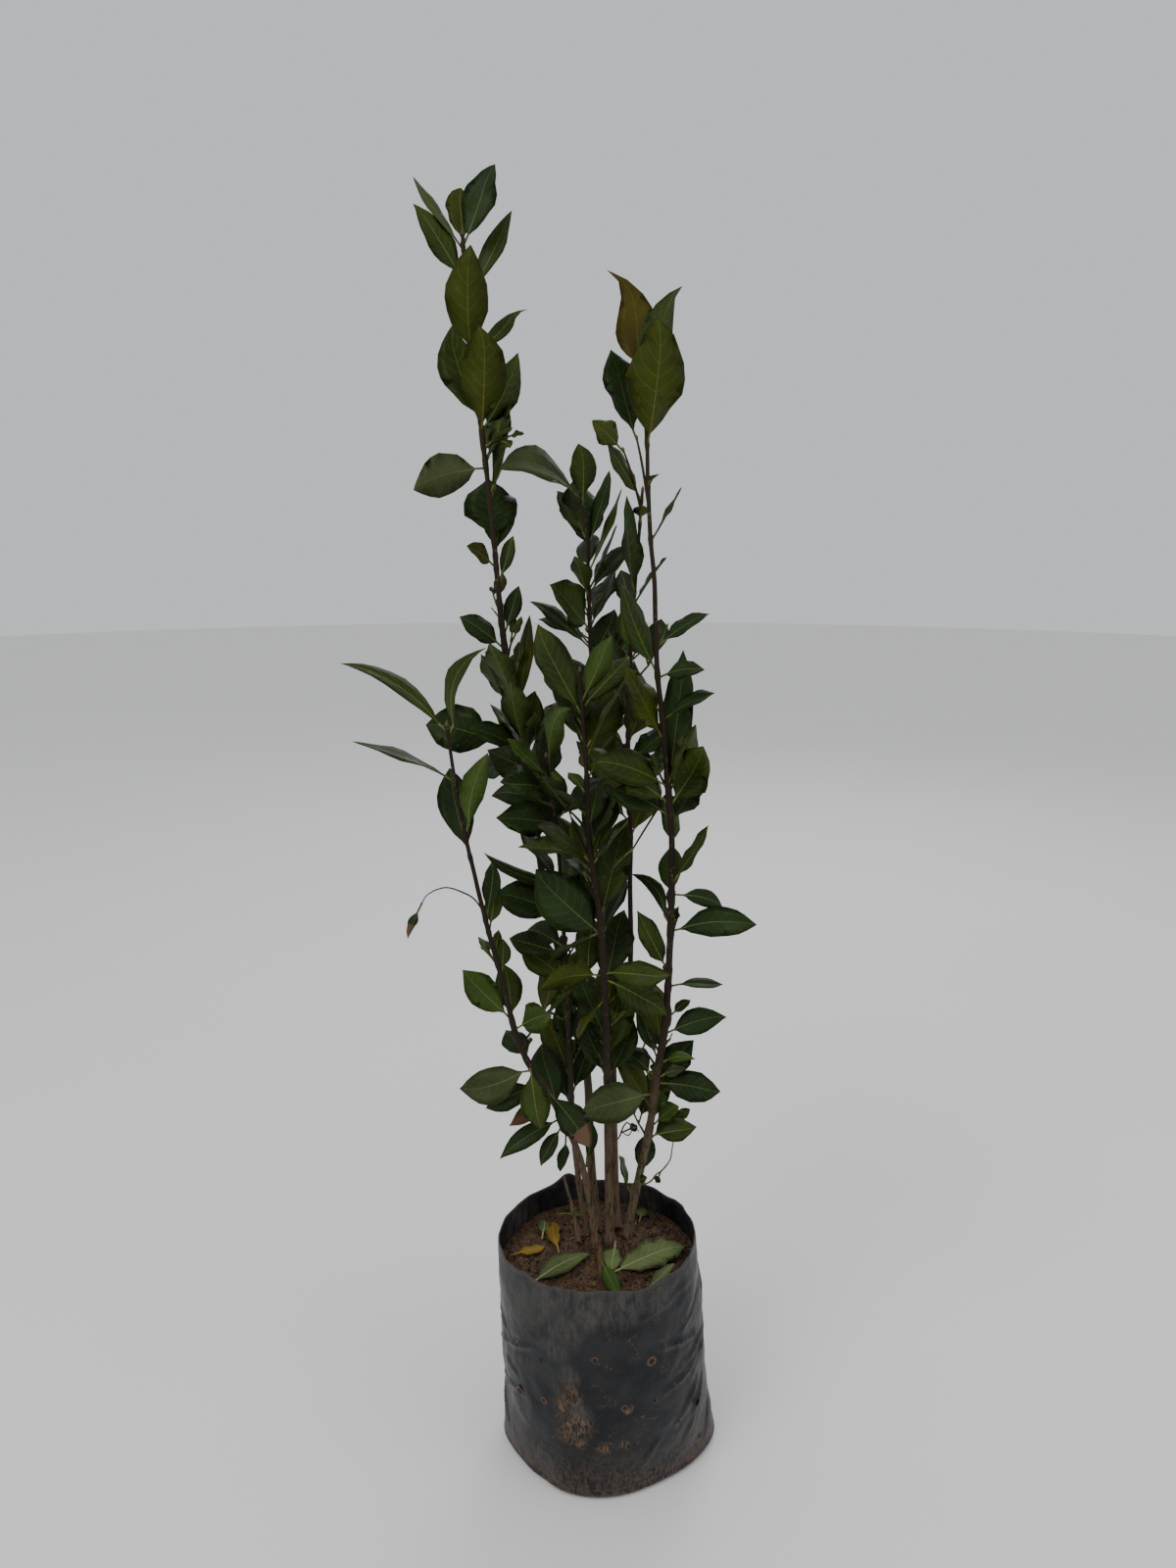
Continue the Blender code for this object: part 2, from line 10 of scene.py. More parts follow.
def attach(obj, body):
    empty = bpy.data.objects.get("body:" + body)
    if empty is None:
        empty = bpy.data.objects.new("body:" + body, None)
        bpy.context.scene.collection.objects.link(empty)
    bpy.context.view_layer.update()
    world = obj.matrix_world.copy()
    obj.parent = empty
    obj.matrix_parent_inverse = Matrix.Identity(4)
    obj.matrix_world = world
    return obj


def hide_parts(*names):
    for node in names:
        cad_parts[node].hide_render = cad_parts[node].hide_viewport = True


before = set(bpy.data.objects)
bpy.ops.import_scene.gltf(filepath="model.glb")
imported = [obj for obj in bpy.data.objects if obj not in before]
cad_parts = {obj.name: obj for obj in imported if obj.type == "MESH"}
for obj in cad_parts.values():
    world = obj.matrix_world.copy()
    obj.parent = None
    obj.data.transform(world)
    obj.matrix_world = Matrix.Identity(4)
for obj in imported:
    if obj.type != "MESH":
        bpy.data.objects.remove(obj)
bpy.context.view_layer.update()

# Bay laurel with several stems in a black polythene nursery bag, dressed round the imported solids.
# Metres, +Z up, origin under the middle of the bag, -Y is the front.
scene = bpy.context.scene
mm = 0.001


# small helpers

def shape(name, points, faces, edges=(), smooth=True):
    mesh = bpy.data.meshes.new(name)
    mesh.from_pydata([tuple(point) for point in points], edges, faces)
    if smooth:
        mesh.shade_smooth()
    piece = bpy.data.objects.new(name, mesh)
    scene.collection.objects.link(piece)
    return piece


def give(piece, domain="POINT", **values):
    # attributes on points or faces, each a list with one number or vector for every element
    for name, found in values.items():
        plain = isinstance(found[0], (int, float))
        layer = piece.data.attributes.new(name, "FLOAT" if plain else "FLOAT_VECTOR", domain)
        if plain:
            layer.data.foreach_set("value", found)
        else:
            layer.data.foreach_set("vector", [part for value in found for part in value])


def circle(radius, height, sides):
    return [(radius * math.cos(math.tau * k / sides), radius * math.sin(math.tau * k / sides), height)
            for k in range(sides)]


def ringFaces(rings, corners):
    # quads between rings of points that follow each other
    return [(r * corners + i, r * corners + (i + 1) % corners,
             (r + 1) * corners + (i + 1) % corners, (r + 1) * corners + i)
            for r in range(rings - 1) for i in range(corners)]


def closed(name, rings, peak=None, smooth=True):
    # a shell through rings of points, closed flat below and above, or above with a peak
    points, sides = [point for ring in rings for point in ring], len(rings[0])
    last = range(len(points) - sides, len(points))
    faces = ringFaces(len(rings), sides) + [tuple(reversed(range(sides)))]
    if peak is None:
        return shape(name, points, [*faces, tuple(last)], smooth=smooth)
    faces += [(last[k], last[(k + 1) % sides], len(points)) for k in range(sides)]
    return shape(name, [*points, peak], faces, smooth=smooth)


def times(share, colour):
    return tuple(share * part for part in colour)


def smoothStep(low, high, value):
    share = min(1.0, max(0.0, (value - low) / (high - low)))
    return share * share * (3 - 2 * share)


def around(degrees, middle):
    # how far one direction lies round from another, from -180 to 180
    return (degrees - middle + 180) % 360 - 180


class Flow:
    # a value on its way through a node tree: it reckons as a number or a vector does

    def __init__(self, sheet, socket):
        self.sheet, self.socket = sheet, socket

    def calc(self, operation, *others):
        vector = self.socket.type == "VECTOR"
        places = (0, 3) if operation == "SCALE" else range(1 + len(others))
        return self.sheet.get("ShaderNodeVectorMath" if vector else "ShaderNodeMath",
                              dict(zip(places, (self, *others))),
                              "Value" if operation == "DISTANCE" or not vector else "Vector",
                              operation=operation)

    def __add__(self, other):
        return self.calc("ADD", other)

    def __sub__(self, other):
        return self.calc("SUBTRACT", other)

    def __rsub__(self, other):
        return self.sheet.get("ShaderNodeMath", {0: other, 1: self}, operation="SUBTRACT")

    def __mul__(self, other):
        scaled = self.socket.type == "VECTOR" and not isinstance(other, tuple)
        return self.calc("SCALE" if scaled else "MULTIPLY", other)

    def __truediv__(self, other):
        return self.calc("DIVIDE", other)

    def __pow__(self, other):
        return self.calc("POWER", other)

    def parts(self):
        return [Flow(self.sheet, out) for out in self.sheet.put("ShaderNodeSeparateXYZ", {0: self}).outputs]

    def spread(self, low, high, toLow=0.0, toHigh=1.0, kind="LINEAR"):
        return self.sheet.get("ShaderNodeMapRange", {"Value": self, "From Min": low, "From Max": high,
                                                     "To Min": toLow, "To Max": toHigh},
                              "Result", interpolation_type=kind)

    def blend(self, low, high):
        return self.sheet.get("ShaderNodeMix", {0: self, 6: low, 7: high}, 2, data_type="RGBA")

    def grain(self, scale, detail=3.0, rough=0.55, stretch=None, swirl=0.0):
        return self.sheet.get("ShaderNodeTexNoise", {
            "Vector": self * stretch if stretch else self, "Scale": scale, "Detail": detail,
            "Roughness": rough, "Distortion": swirl}, "Fac")

    def relief(self, depth, strength=1.0):
        return self.sheet.get("ShaderNodeBump", {"Height": self, "Distance": depth, "Strength": strength})


class Sheet:
    # writes a node tree

    def __init__(self, tree):
        self.tree = tree

    def put(self, kind, feeds=None, **settings):
        node = self.tree.nodes.new(kind)
        for name, value in settings.items():
            setattr(node, name, value)
        for key, value in (feeds or {}).items():
            self.feed(node.inputs[key] if isinstance(key, int) else next(
                found for found in node.inputs if found.name == key and found.enabled), value)
        return node

    def feed(self, socket, value):
        if isinstance(value, Flow):
            self.tree.links.new(value.socket, socket)
        else:
            socket.default_value = (*value, 1)[:4] if socket.type == "RGBA" else value

    def get(self, kind, feeds=None, out=None, **settings):
        outputs = self.put(kind, feeds, **settings).outputs
        return Flow(self, next(found for found in outputs if found.enabled) if out is None else outputs[out])

    def named(self, name, kind="FLOAT"):
        return self.get("GeometryNodeInputNamedAttribute", {"Name": name}, data_type=kind)

    def mark(self, name, out="Fac"):
        # the same attribute, read by a material
        return self.get("ShaderNodeAttribute", out=out, attribute_name=name)

    def copies(self, given, **feeds):
        # the blank at every point, as plain mesh
        blank = self.get("GeometryNodeObjectInfo", {"Object": given["Blank"]}, "Geometry")
        laid = self.get("GeometryNodeInstanceOnPoints",
                        {"Points": given["Geometry"], "Instance": blank, **feeds})
        return self.get("GeometryNodeRealizeInstances", {"Geometry": laid})

    def dress(self, made, skin, **where):
        return self.get("GeometryNodeSetMaterial", {"Geometry": made, "Material": skin, **where})

    def end(self, made):
        self.feed(self.put("NodeGroupOutput").inputs[0], made)
        return self.tree


def finish(name, paint, *form):
    # a material whose nodes are written by paint(place, *form), which gives the shader's inputs
    made = bpy.data.materials.new(name)
    made.use_nodes = True
    sheet = Sheet(made.node_tree)
    for socket, value in paint(sheet.get("ShaderNodeTexCoord", out="Object"), *form).items():
        sheet.feed(made.node_tree.nodes["Principled BSDF"].inputs[socket], value)
    return made


def newTree(name, **inputs):
    # an empty Geometry Nodes tree; the names of its inputs are given by their kind
    tree = bpy.data.node_groups.new(name, "GeometryNodeTree")
    for way in ("OUTPUT", "INPUT"):
        tree.interface.new_socket(name="Geometry", in_out=way, socket_type="NodeSocketGeometry")
    for kind, labels in inputs.items():
        for label in labels.split():
            tree.interface.new_socket(name=label, in_out="INPUT", socket_type=f"NodeSocket{kind}")
    sheet = Sheet(tree)
    return sheet, {out.name: Flow(sheet, out) for out in sheet.put("NodeGroupInput").outputs}


def runTree(piece, tree, inputs):
    # runs the tree once and keeps its result as the piece's own plain mesh
    modifier = piece.modifiers.new(tree.name, "NODES")
    modifier.node_group = tree
    for item in tree.interface.items_tree:
        if item.in_out == "INPUT" and item.name in inputs:
            modifier[item.identifier] = inputs[item.name]
    graph = bpy.context.evaluated_depsgraph_get()
    made = bpy.data.meshes.new_from_object(piece.evaluated_get(graph))
    piece.modifiers.clear()
    piece.data = made
    return piece


def standing(name, blank, rows, skin, inner=None):
    # a copy of the blank on every row's place, along its way and as long as its size
    inputs = dict(Blank=blank, Skin=skin)
    if inner:
        inputs["Inner"] = inner
    sheet, given = newTree(f"stand_{name}", Object="Blank", Material="Skin Inner" if inner else "Skin")
    turned = sheet.get("FunctionNodeAlignRotationToVector", {"Vector": sheet.named("way", "FLOAT_VECTOR")},
                       axis="Z")
    made = sheet.dress(sheet.copies(given, Rotation=turned, Scale=sheet.named("size")), given["Skin"])
    if inner:
        made = sheet.dress(made, given["Inner"], Selection=sheet.named("dark"))
    places, ways, sizes = zip(*rows)
    piece = shape(name, places, [])
    give(piece, way=ways, size=sizes)
    runTree(piece, sheet.end(made), inputs)
    bpy.data.objects.remove(blank)
    return piece


def settle(piece, slot, *nodes):
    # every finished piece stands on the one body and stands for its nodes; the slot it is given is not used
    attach(piece, "root")
    if nodes:
        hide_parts(*nodes)
    return piece


# growth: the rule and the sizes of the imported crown; some rows are set finer than the solids' rows

growth = dict(
    stemSides=6, stemStep=34 * mm, rootFlare=1.45, flareHeight=14 * mm, clearance=0.3 * mm,
    petiole=9 * mm, petioleRadius=0.9 * mm, bladeThickness=1.3 * mm, bladeFold=0.2,
    bladeArch=0.07, archTurn=1.6, testMargin=0.7 * mm, twigRadius=1.3 * mm, twigBow=0.06,
    rootSink=0.35, eye=(-0.0214, -0.95, 0.88),
    blade=((0.24, 0.74), (0.54, 1.0), (0.82, 0.62)),
    turnsToTry=((0, 0), (9, 0), (-9, 0), (0, -7), (16, -3), (-16, -3), (9, -12), (-9, -12),
                (24, -6), (-24, -6), (0, -18), (0, 8), (34, -10), (-34, -10)))
# the seeded leaves behind the stems; every fourth is a twig with three smaller leaves
fillRule = dict(goldenTurn=137.5, start=0.05, middle=90, sideways=62, rise=(38, 62), length=(52, 72),
                width=(0.42, 0.5), roll=(-30, 30), twigEvery=4, twigLength=(22, 32), twigDrop=10,
                twigLeaves=(-70, 10, 80), twigLeafSize=0.85, twigLeafLift=6, twigEnd=0.95)

# millimetres and degrees; a leaf is height, turn, rise, length, width and roll and, where it stands
# out from its neighbours, its colour and its look; a fill is how many more leaves and how far up they go

stems = {
    "left_tall": dict(
        axis=((-12, 34, 200), (-19, 40, 276), (-23, 49, 365), (-43, 56, 452), (-65, 61, 563),
            (-72, 62, 642), (-83, 60, 707), (-96, 57, 773), (-104, 57, 871), (-112, 56, 952),
            (-121, 54, 1023), (-124, 54, 1106)),
        foot=4.5, tip=1.5, bareTop=656,
        masses=(("middle", 810), ("upper", 988), ("crown", 1106)),
        leaves=((952, 14, 62, 72, 30, -75, "mid", dict(whip=0.1)), (673, 173, 54, 56, 28, 0),
            (671, 290, 59, 50, 22, 40), (675, 235, 74, 74, 34, 0), (678, 78, 62, 54, 26, 0),
            (714, 223, 65, 68, 34, 0), (714, 56, 78, 84, 19, 0), (767, 201, 38, 50, 24, -55, "deep"),
            (670, 210, 36, 64, 26, -50, "deep"), (650, 0, 87, 56, 30, 10, "mid"),
            (668, 285, 41, 56, 28, 60, "mid"), (668, 145, -22, 60, 30, -60, "deep"),
            (779, 35, 70, 46, 16, 50), (823, 50, 68, 46, 13, 30, "mid"),
            (838, 221, 33, 36, 22, -60, "olive"), (860, 102, 56, 66, 48, 0, "deep"),
            (894, 66, 64, 76, 30, -70, "mid"), (928, 50, 46, 50, 22, -70, "deep"),
            (900, 350, 72, 55, 24, 0, "mid"), (922, 208, -14, 68, 36, 80, "pale", dict(whip=0, lead=1.1)),
            (926, 42, 66, 60, 34, 10, "mid"), (938, 5, 40, 33, 14, 0, "fresh"),
            (951, 283, 72, 86, 38, 0, "olive"), (960, 148, 68, 86, 38, -30, "mid"),
            (1011, 34, 46, 66, 16, 40, "mid", dict(sway=0.4, whip=0.3, hook=2.0)),
            (1011, 278, 74, 86, 36, 5, "olive"), (1056, 28, 61, 84, 20, 35, "mid"),
            (1070, 192, 57, 70, 23, -78, "mid"), (1095, 180, 53, 70, 13, -35, "pale"),
            (1096, 103, 64, 58, 26, 0, "olive", dict(whip=0, lead=0.88)), (1098, 0, 69, 66, 29, 70, "deep")),
        twigs=((938, 350, 25, 16, ((1.0, 340, 62, 20, 11, 30, "fresh"), (1.0, 20, 15, 22, 12, -20, "fresh"),
                                   (1.0, 300, -20, 20, 11, 40, "mid"), (0.8, 60, 80, 18, 9, 0, "fresh"))),
            (670, 188, 22, 28, ((1.0, 186, 18, 68, 44, -75, "deep"),))),
        fill=((7, 0.42), (2, 0.7), (1, 0.7))),
    "centre_front": dict(
        axis=((0, 18, 200), (-3, 1, 329), (-5, -12, 425), (-10, -25, 533), (-16, -31, 579),
            (-21, -34, 623), (-23, -38, 683), (-28, -44, 760)),
        foot=4.3, tip=1.5, bareTop=368,
        masses=(("lower", 512), ("middle", 671), ("crown", 760)),
        leaves=((383, 143, 53, 70, 34, 0), (392, 123, 28, 50, 26, 0), (399, 70, 62, 76, 40, 0),
            (465, 231, -33, 44, 22, 30, "olive"), (475, 72, 50, 76, 36, 0),
            (485, 0, -26, 63, 30, 60, "mid"), (489, 211, 4, 64, 36, 70, "olive"),
            (491, 328, 9, 66, 24, 60, "mid"), (528, 190, 46, 84, 46, -75, "deep"),
            (531, 195, -28, 54, 20, 40), (545, 55, 64, 84, 40, 0), (575, 127, 12, 50, 20, 0),
            (595, 322, 50, 60, 36, 20), (597, 204, 39, 62, 34, -30, "mid"),
            (601, 194, 10, 62, 24, 60, "mid"), (623, 78, 40, 52, 24, 0), (638, 219, 37, 48, 24, 0),
            (655, 127, 34, 30, 14, 0), (696, 331, 60, 74, 28, 30, "mid"), (699, 116, 39, 56, 28, 0),
            (714, 132, 41, 66, 28, 0), (724, 172, 62, 82, 34, -40, "mid"),
            (730, 43, 36, 66, 26, 20, "mid"), (736, 308, 58, 66, 20, -40, "fresh")),
        twigs=(),
        fill=((9, 0.75), (8, 0.75), (2, 0.6))),
    "centre_back": dict(
        axis=((6, 36, 200), (4, 45, 283), (2, 62, 389), (-5, 74, 496), (-10, 82, 591), (-14, 85, 647),
            (-18, 90, 747), (-21, 92, 819), (-22, 93, 862), (-28, 94, 905)),
        foot=4.2, tip=1.4, bareTop=480,
        masses=(("middle", 798), ("crown", 905)),
        leaves=((637, 75, 53, 66, 34, 0), (689, 51, 42, 66, 36, 0), (753, 47, 52, 56, 26, 40, "deep"),
            (764, 180, 39, 70, 20, -40), (772, 167, 21, 58, 18, -40), (780, 214, 56, 66, 46, -70, "mid"),
            (783, 48, 58, 62, 34, -10, "deep"), (810, 240, 60, 44, 22, 0), (817, 350, 66, 64, 18, 15),
            (833, 10, 68, 80, 20, 15), (854, 90, 65, 72, 42, 0, "deep"), (856, 40, 60, 72, 17, 10),
            (861, 134, 50, 58, 30, -10), (891, 267, 70, 56, 24, 10, "mid"),
            (897, 200, 20, 90, 36, -55, "pale", dict(sway=0.5, whip=0, lead=0.95))),
        twigs=(),
        fill=((18, 0.8), (3, 0.6))),
    "right_back": dict(
        axis=((9, 56, 361), (14, 56, 412), (19, 58, 472), (18, 59, 549), (18, 61, 605), (15, 63, 679),
            (16, 63, 750), (20, 63, 820), (26, 64, 903)),
        foot=2.8, tip=1.3, flare=1.0, bareTop=560,
        masses=(("middle", 793), ("crown", 903)),
        leaves=((679, 57, 53, 60, 30, 0), (733, 231, 60, 62, 30, -20), (760, 85, 64, 58, 26, 0),
            (796, 114, 58, 46, 20, -40, "deep"), (816, 245, 77, 86, 29, -25, "deep"),
            (875, 273, 37, 26, 14, 0), (895, 213, 53, 60, 21, -70, "mid")),
        twigs=((888, 222, 66, 52, ((1.0, 190, 42, 38, 27, -60),)),),
        fill=((12, 0.75), (3, 0.45))),
    "right": dict(
        axis=((16, 22, 200), (27, 10, 273), (36, 2, 329), (41, -6, 383), (48, -14, 445), (50, -24, 532),
            (50, -27, 604), (46, -29, 656), (40, -26, 721), (35, -27, 762), (32, -28, 826), (28, -26, 871),
            (26, -24, 909), (24, -24, 950), (17, -22, 999)),
        foot=4.0, tip=1.4, bareTop=304,
        masses=(("lower", 510), ("middle", 687), ("upper", 846), ("crown", 999)),
        leaves=((313, 17, 33, 46, 18, 30, "mid"), (318, 0, 17, 46, 22, 50, "mid"),
            (329, 0, 43, 34, 20, 30, "fresh"), (359, 33, 51, 41, 24, 20),
            (366, 190, -4, 72, 36, -60, "pale"), (378, 350, -6, 58, 28, 60), (383, 140, 22, 44, 24, -30),
            (401, 132, 57, 50, 18, -30), (383, 336, 36, 28, 12, 40, "pale", dict(curl=0.22)),
            (399, 330, 30, 34, 11, 40, "fresh", dict(curl=0.25)), (430, 0, 18, 57, 24, 60),
            (445, 13, 36, 27, 10, 40), (478, 0, 0, 48, 14, 20), (494, 182, 64, 62, 22, -60, "mid"),
            (532, 336, 13, 77, 26, 66, "deep"), (538, 126, 31, 62, 12, -30, "deep", dict(sway=0.5)),
            (566, 0, -13, 45, 16, 60), (577, 334, 59, 62, 20, 40, "mid"), (628, 45, 45, 50, 34, 0),
            (636, 172, 25, 58, 34, -40), (645, 350, 62, 58, 40, 60, "mid"),
            (664, 289, 48, 70, 25, 60, "olive"), (648, 190, 30, 73, 32, -60, "mid"),
            (656, 30, 66, 62, 36, -60, "mid"), (662, 186, 23, 67, 32, -60, "mid"),
            (664, 42, 82, 112, 28, 20, "deep"), (701, 200, 61, 72, 38, -50, "olive"),
            (718, 10, 38, 50, 24, 30), (753, 321, 13, 46, 16, 60), (757, 190, 68, 78, 28, -55, "mid"),
            (778, 357, 34, 50, 18, 40), (863, 0, 61, 48, 14, 10), (905, 286, 19, 24, 10, 20),
            (982, 34, 67, 86, 37, -78, "mid", dict(whip=0.38, hook=-1.2, sway=0.1, lead=1.1)),
            (989, 172, 81, 79, 33, -75, "autumn", dict(sway=0.34, whip=0.35, hook=-1.9)),
            (936, 292, 76, 94, 48, 5, "olive", dict(whip=0, lead=1.1, sway=0))),
        twigs=((893, 175, 79, 48, ((1.0, 165, 73, 72, 34, -40, "deep"),)),),
        fill=((6, 0.7), (6, 0.6), (3, 0.4), (0, 0))),
    "left_outer": dict(
        axis=((-14, 14, 200), (-22, 4, 262), (-32, -6, 312), (-58, -16, 375), (-72, -20, 400),
            (-82, -24, 424), (-89, -28, 453), (-97, -33, 495), (-104, -38, 527), (-111, -43, 562),
            (-121, -50, 617), (-129, -55, 670), (-134, -61, 719)),
        foot=3.4, tip=1.3, bareTop=330,
        masses=(("lower", 514), ("middle", 603), ("crown", 719)),
        leaves=((346, 196, -28, 66, 19, -50, "deep"), (376, 326, -42, 62, 28, 30, "deep", dict(dead=0.3)),
            (404, 288, -54, 57, 28, 0, "mid"), (398, 193, -11, 66, 33, -66, "pale", dict(sway=-0.3)),
            (405, 130, 35, 38, 28, 0, "deep"), (384, 200, -20, 54, 22, -60, "deep"),
            (369, 205, -28, 44, 15, -60, "dry"), (341, 210, -55, 44, 15, -30, "deep"),
            (441, 339, 31, 40, 28, 60, "fresh"), (451, 180, 48, 62, 28, -60, "fresh"),
            (493, 80, 68, 33, 14, 20), (536, 72, 68, 43, 16, 20), (548, 60, 76, 50, 17, 20),
            (606, 122, 63, 78, 33, 0, "deep"), (628, 330, 70, 74, 21, -50, "fresh", dict(sway=0.3)),
            (672, 187, 23, 88, 18, -8, "deep"), (712, 10, 66, 76, 18, 35, "mid", dict(sway=-1.1)),
            (715, 187, 36, 98, 20, -35, "mid", dict(sway=0.3))),
        twigs=(),
        fill=((5, 0.7), (0, 0), (1, 0.5))),
    "left_centre": dict(
        axis=((-22, 26, 200), (-31, 20, 267), (-36, 15, 332), (-38, 11, 393), (-41, 8, 473), (-46, 1, 577),
            (-50, -5, 632), (-57, -11, 683)),
        foot=3.2, tip=1.3, bareTop=336,
        masses=(("lower", 519), ("crown", 683)),
        leaves=((343, 137, 56, 54, 26, 0), (398, 110, 70, 54, 26, 0), (473, 165, 31, 52, 30, -40),
            (497, 178, 17, 52, 24, -40), (505, 137, 0, 46, 26, -50, "deep"),
            (639, 167, 9, 56, 24, -60, "deep"), (536, 180, 20, 64, 35, -60),
            (560, 180, 27, 76, 15, -25, "deep", dict(sway=-0.5)), (622, 200, 12, 58, 33, -55, "deep"),
            (657, 179, 29, 62, 34, -60, "deep"), (653, 223, 15, 56, 36, -45, "deep"),
            (659, 100, 65, 52, 26, 20, "deep"), (648, 142, 48, 46, 28, 0, "mid"),
            (663, 223, 42, 62, 18, -60, "fresh"),
            (678, 322, 60, 70, 25, -70, "fresh", dict(sway=0.4, hook=-0.8))),
        twigs=(),
        fill=((7, 0.75), (7, 0.7))),
}
# openings between the stems, seen from the front in the plane y = 0: across, up, radius;
# leaves keep openingRim further off
openingRim = 5
openings = ((-64, 759, 11), (-65, 730, 11), (-38, 704, 10), (-43, 679, 12), (-36, 657, 8), (24, 706, 9),
            (30, 599, 14), (36, 627, 8), (30, 573, 7), (-79, 467, 8), (21, 509, 8), (14, 546, 6),
            (28, 406, 8), (-36, 370, 9), (78, 458, 7), (-39, 782, 5), (-11, 765, 5), (-36, 856, 7),
            (95, 587, 14), (97, 500, 11), (-124, 587, 14), (-111, 419, 7), (76, 824, 13), (-53, 871, 11),
            (37, 873, 7), (72, 460, 12), (76, 535, 13), (66, 597, 10), (-111, 413, 6), (23, 856, 8),
            (66, 486, 7), (56, 775, 10), (66, 624, 11), (-117, 627, 7), (-136, 1052, 14), (66, 562, 10))
deadStub = dict(axis=((-30, 12, 200), (-36, 12, 235), (-44, 13, 270)), foot=1.9, tip=1.2)


def heading(turn, rise):
    turn, rise = math.radians(turn), math.radians(rise)
    return Vector((math.cos(rise) * math.cos(turn), math.cos(rise) * math.sin(turn), math.sin(rise)))


def loft(bm, rings, closeEnd=True):
    rows = [[bm.verts.new(point) for point in ring] for ring in rings]
    for low, high in zip(rows, rows[1:]):
        for i in range(len(low)):
            j = (i + 1) % len(low)
            bm.faces.new((low[i], low[j], high[j], high[i]))
    bm.faces.new(rows[0][::-1])
    if closeEnd:
        bm.faces.new(rows[-1])
    return rows


class Stem:
    # the axis of one stem as a smooth curve that can be read at any height

    def __init__(self, axis, foot, tip, flare=growth["rootFlare"], steps=10):
        points = [Vector(p) * mm for p in axis]
        points = [2 * points[0] - points[1], *points, 2 * points[-1] - points[-2]]
        self.line = []
        for a, b, c, d in zip(points, points[1:], points[2:], points[3:]):
            for k in range(steps):
                t = k / steps
                self.line.append(0.5 * (2 * b + (c - a) * t + (2 * a - 5 * b + 4 * c - d) * t * t
                                        + (3 * b - a - 3 * c + d) * t ** 3))
        self.line.append(points[-2])
        self.low, self.high = self.line[0].z, self.line[-1].z
        self.foot, self.tip, self.flare = foot * mm, tip * mm, flare

    def at(self, z):
        for a, b in zip(self.line, self.line[1:]):
            if z <= b.z:
                return a.lerp(b, max(0.0, (z - a.z) / (b.z - a.z)))
        return self.line[-1].copy()

    def radius(self, z):
        share = (z - self.low) / (self.high - self.low)
        flare = 1 + (self.flare - 1) * max(0.0, 1 - (z - self.low) / growth["flareHeight"]) ** 2
        return (self.foot + (self.tip - self.foot) * share) * flare


def tubeRings(points, radii, sides, levelStart=False):
    rings = []
    across = None
    for i, point in enumerate(points):
        along = (points[min(i + 1, len(points) - 1)] - points[max(i - 1, 0)]).normalized()
        if levelStart and i == 0:
            along = Vector((0, 0, 1))
        if across is None:
            across = along.orthogonal().normalized()
        across = (across - across.dot(along) * along).normalized()
        other = along.cross(across)
        rings.append([point + radii[i] * (math.cos(math.tau * k / sides) * across
                                          + math.sin(math.tau * k / sides) * other)
                      for k in range(sides)])
    return rings


def stemRings(stem, low, high, grow):
    heights = [low]
    atFoot = low < stem.low + growth["flareHeight"]
    if atFoot:
        heights += [low + 0.4 * growth["flareHeight"], low + growth["flareHeight"]]
    count = max(1, round((high - heights[-1]) / growth["stemStep"]))
    start = heights[-1]
    heights += [start + (high - start) * (k + 1) / count for k in range(count)]
    return tubeRings([stem.at(z) for z in heights], [stem.radius(z) + grow for z in heights],
                     growth["stemSides"], atFoot)


def twigPoint(start, end, share):
    bow = Vector((0, 0, growth["twigBow"] * (end - start).length))
    return start.lerp(end, share) + bow * 4 * share * (1 - share)


def twigRings(start, end, grow):
    shares = (0, 0.35, 0.7, 1)
    return tubeRings([twigPoint(start, end, share) for share in shares],
                     [growth["twigRadius"] * (1 - 0.35 * share) + grow for share in shares], 5)


class Leaf:
    # one leaf's place: root in its stem or twig, direction, upper side, length and width

    def __init__(self, root, turn, rise, length, width, roll):
        self.root, self.length, self.width = root, length, width
        self.along = heading(turn, rise)
        upright = Vector((0, 0, 1)) - self.along.z * self.along
        self.upper = upright.normalized()
        self.arch = Quaternion(self.along, math.radians(roll / 2)) @ self.upper
        self.upper.rotate(Quaternion(self.along, math.radians(roll)))
        self.across = self.along.cross(self.upper)
        self.bow = length * growth["bladeArch"] * math.cos(math.radians(growth["archTurn"] * rise))
        self.tint, self.look = "", {}

    def middle(self, share):
        return (self.root + self.along * self.length * share
                + self.arch * self.bow * 4 * share * (1 - share))

    def testBody(self):
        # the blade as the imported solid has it, a little fatter
        grow, stalk = growth["testMargin"], growth["petiole"] / self.length
        sections = [(stalk, growth["petioleRadius"], 0.0)]
        for share, breadth in growth["blade"]:
            half = 0.5 * self.width * breadth
            sections.append((stalk + (1 - stalk) * share, half, growth["bladeFold"] * half))
        rings = []
        for share, half, fold in sections:
            centre = self.middle(share)
            thick = (growth["petioleRadius"] if fold == 0 else 0.5 * growth["bladeThickness"]) + grow
            half += grow
            rings.append([centre - self.across * half + self.upper * fold,
                          centre - self.upper * thick,
                          centre + self.across * half + self.upper * fold,
                          centre + self.upper * thick])
        bm = bmesh.new()
        rows = loft(bm, rings, closeEnd=False)
        tip = bm.verts.new(self.middle(1.0))
        for i in range(4):
            bm.faces.new((rows[-1][i], rows[-1][(i + 1) % 4], tip))
        return treeOf(bm)


def treeOf(bm):
    tree = BVHTree.FromBMesh(bm)
    bm.free()
    return tree


def treeOfTube(rings):
    bm = bmesh.new()
    loft(bm, rings)
    return treeOf(bm)


class Mass:
    # a stretch of stem with its twigs and leaves

    def __init__(self, name, stem, low, high):
        self.name, self.stem, self.low, self.high = name, stem, low, high
        self.leaves, self.twigs = [], []
        self.trees = [treeOfTube(stemRings(stem, low, high, growth["testMargin"]))]


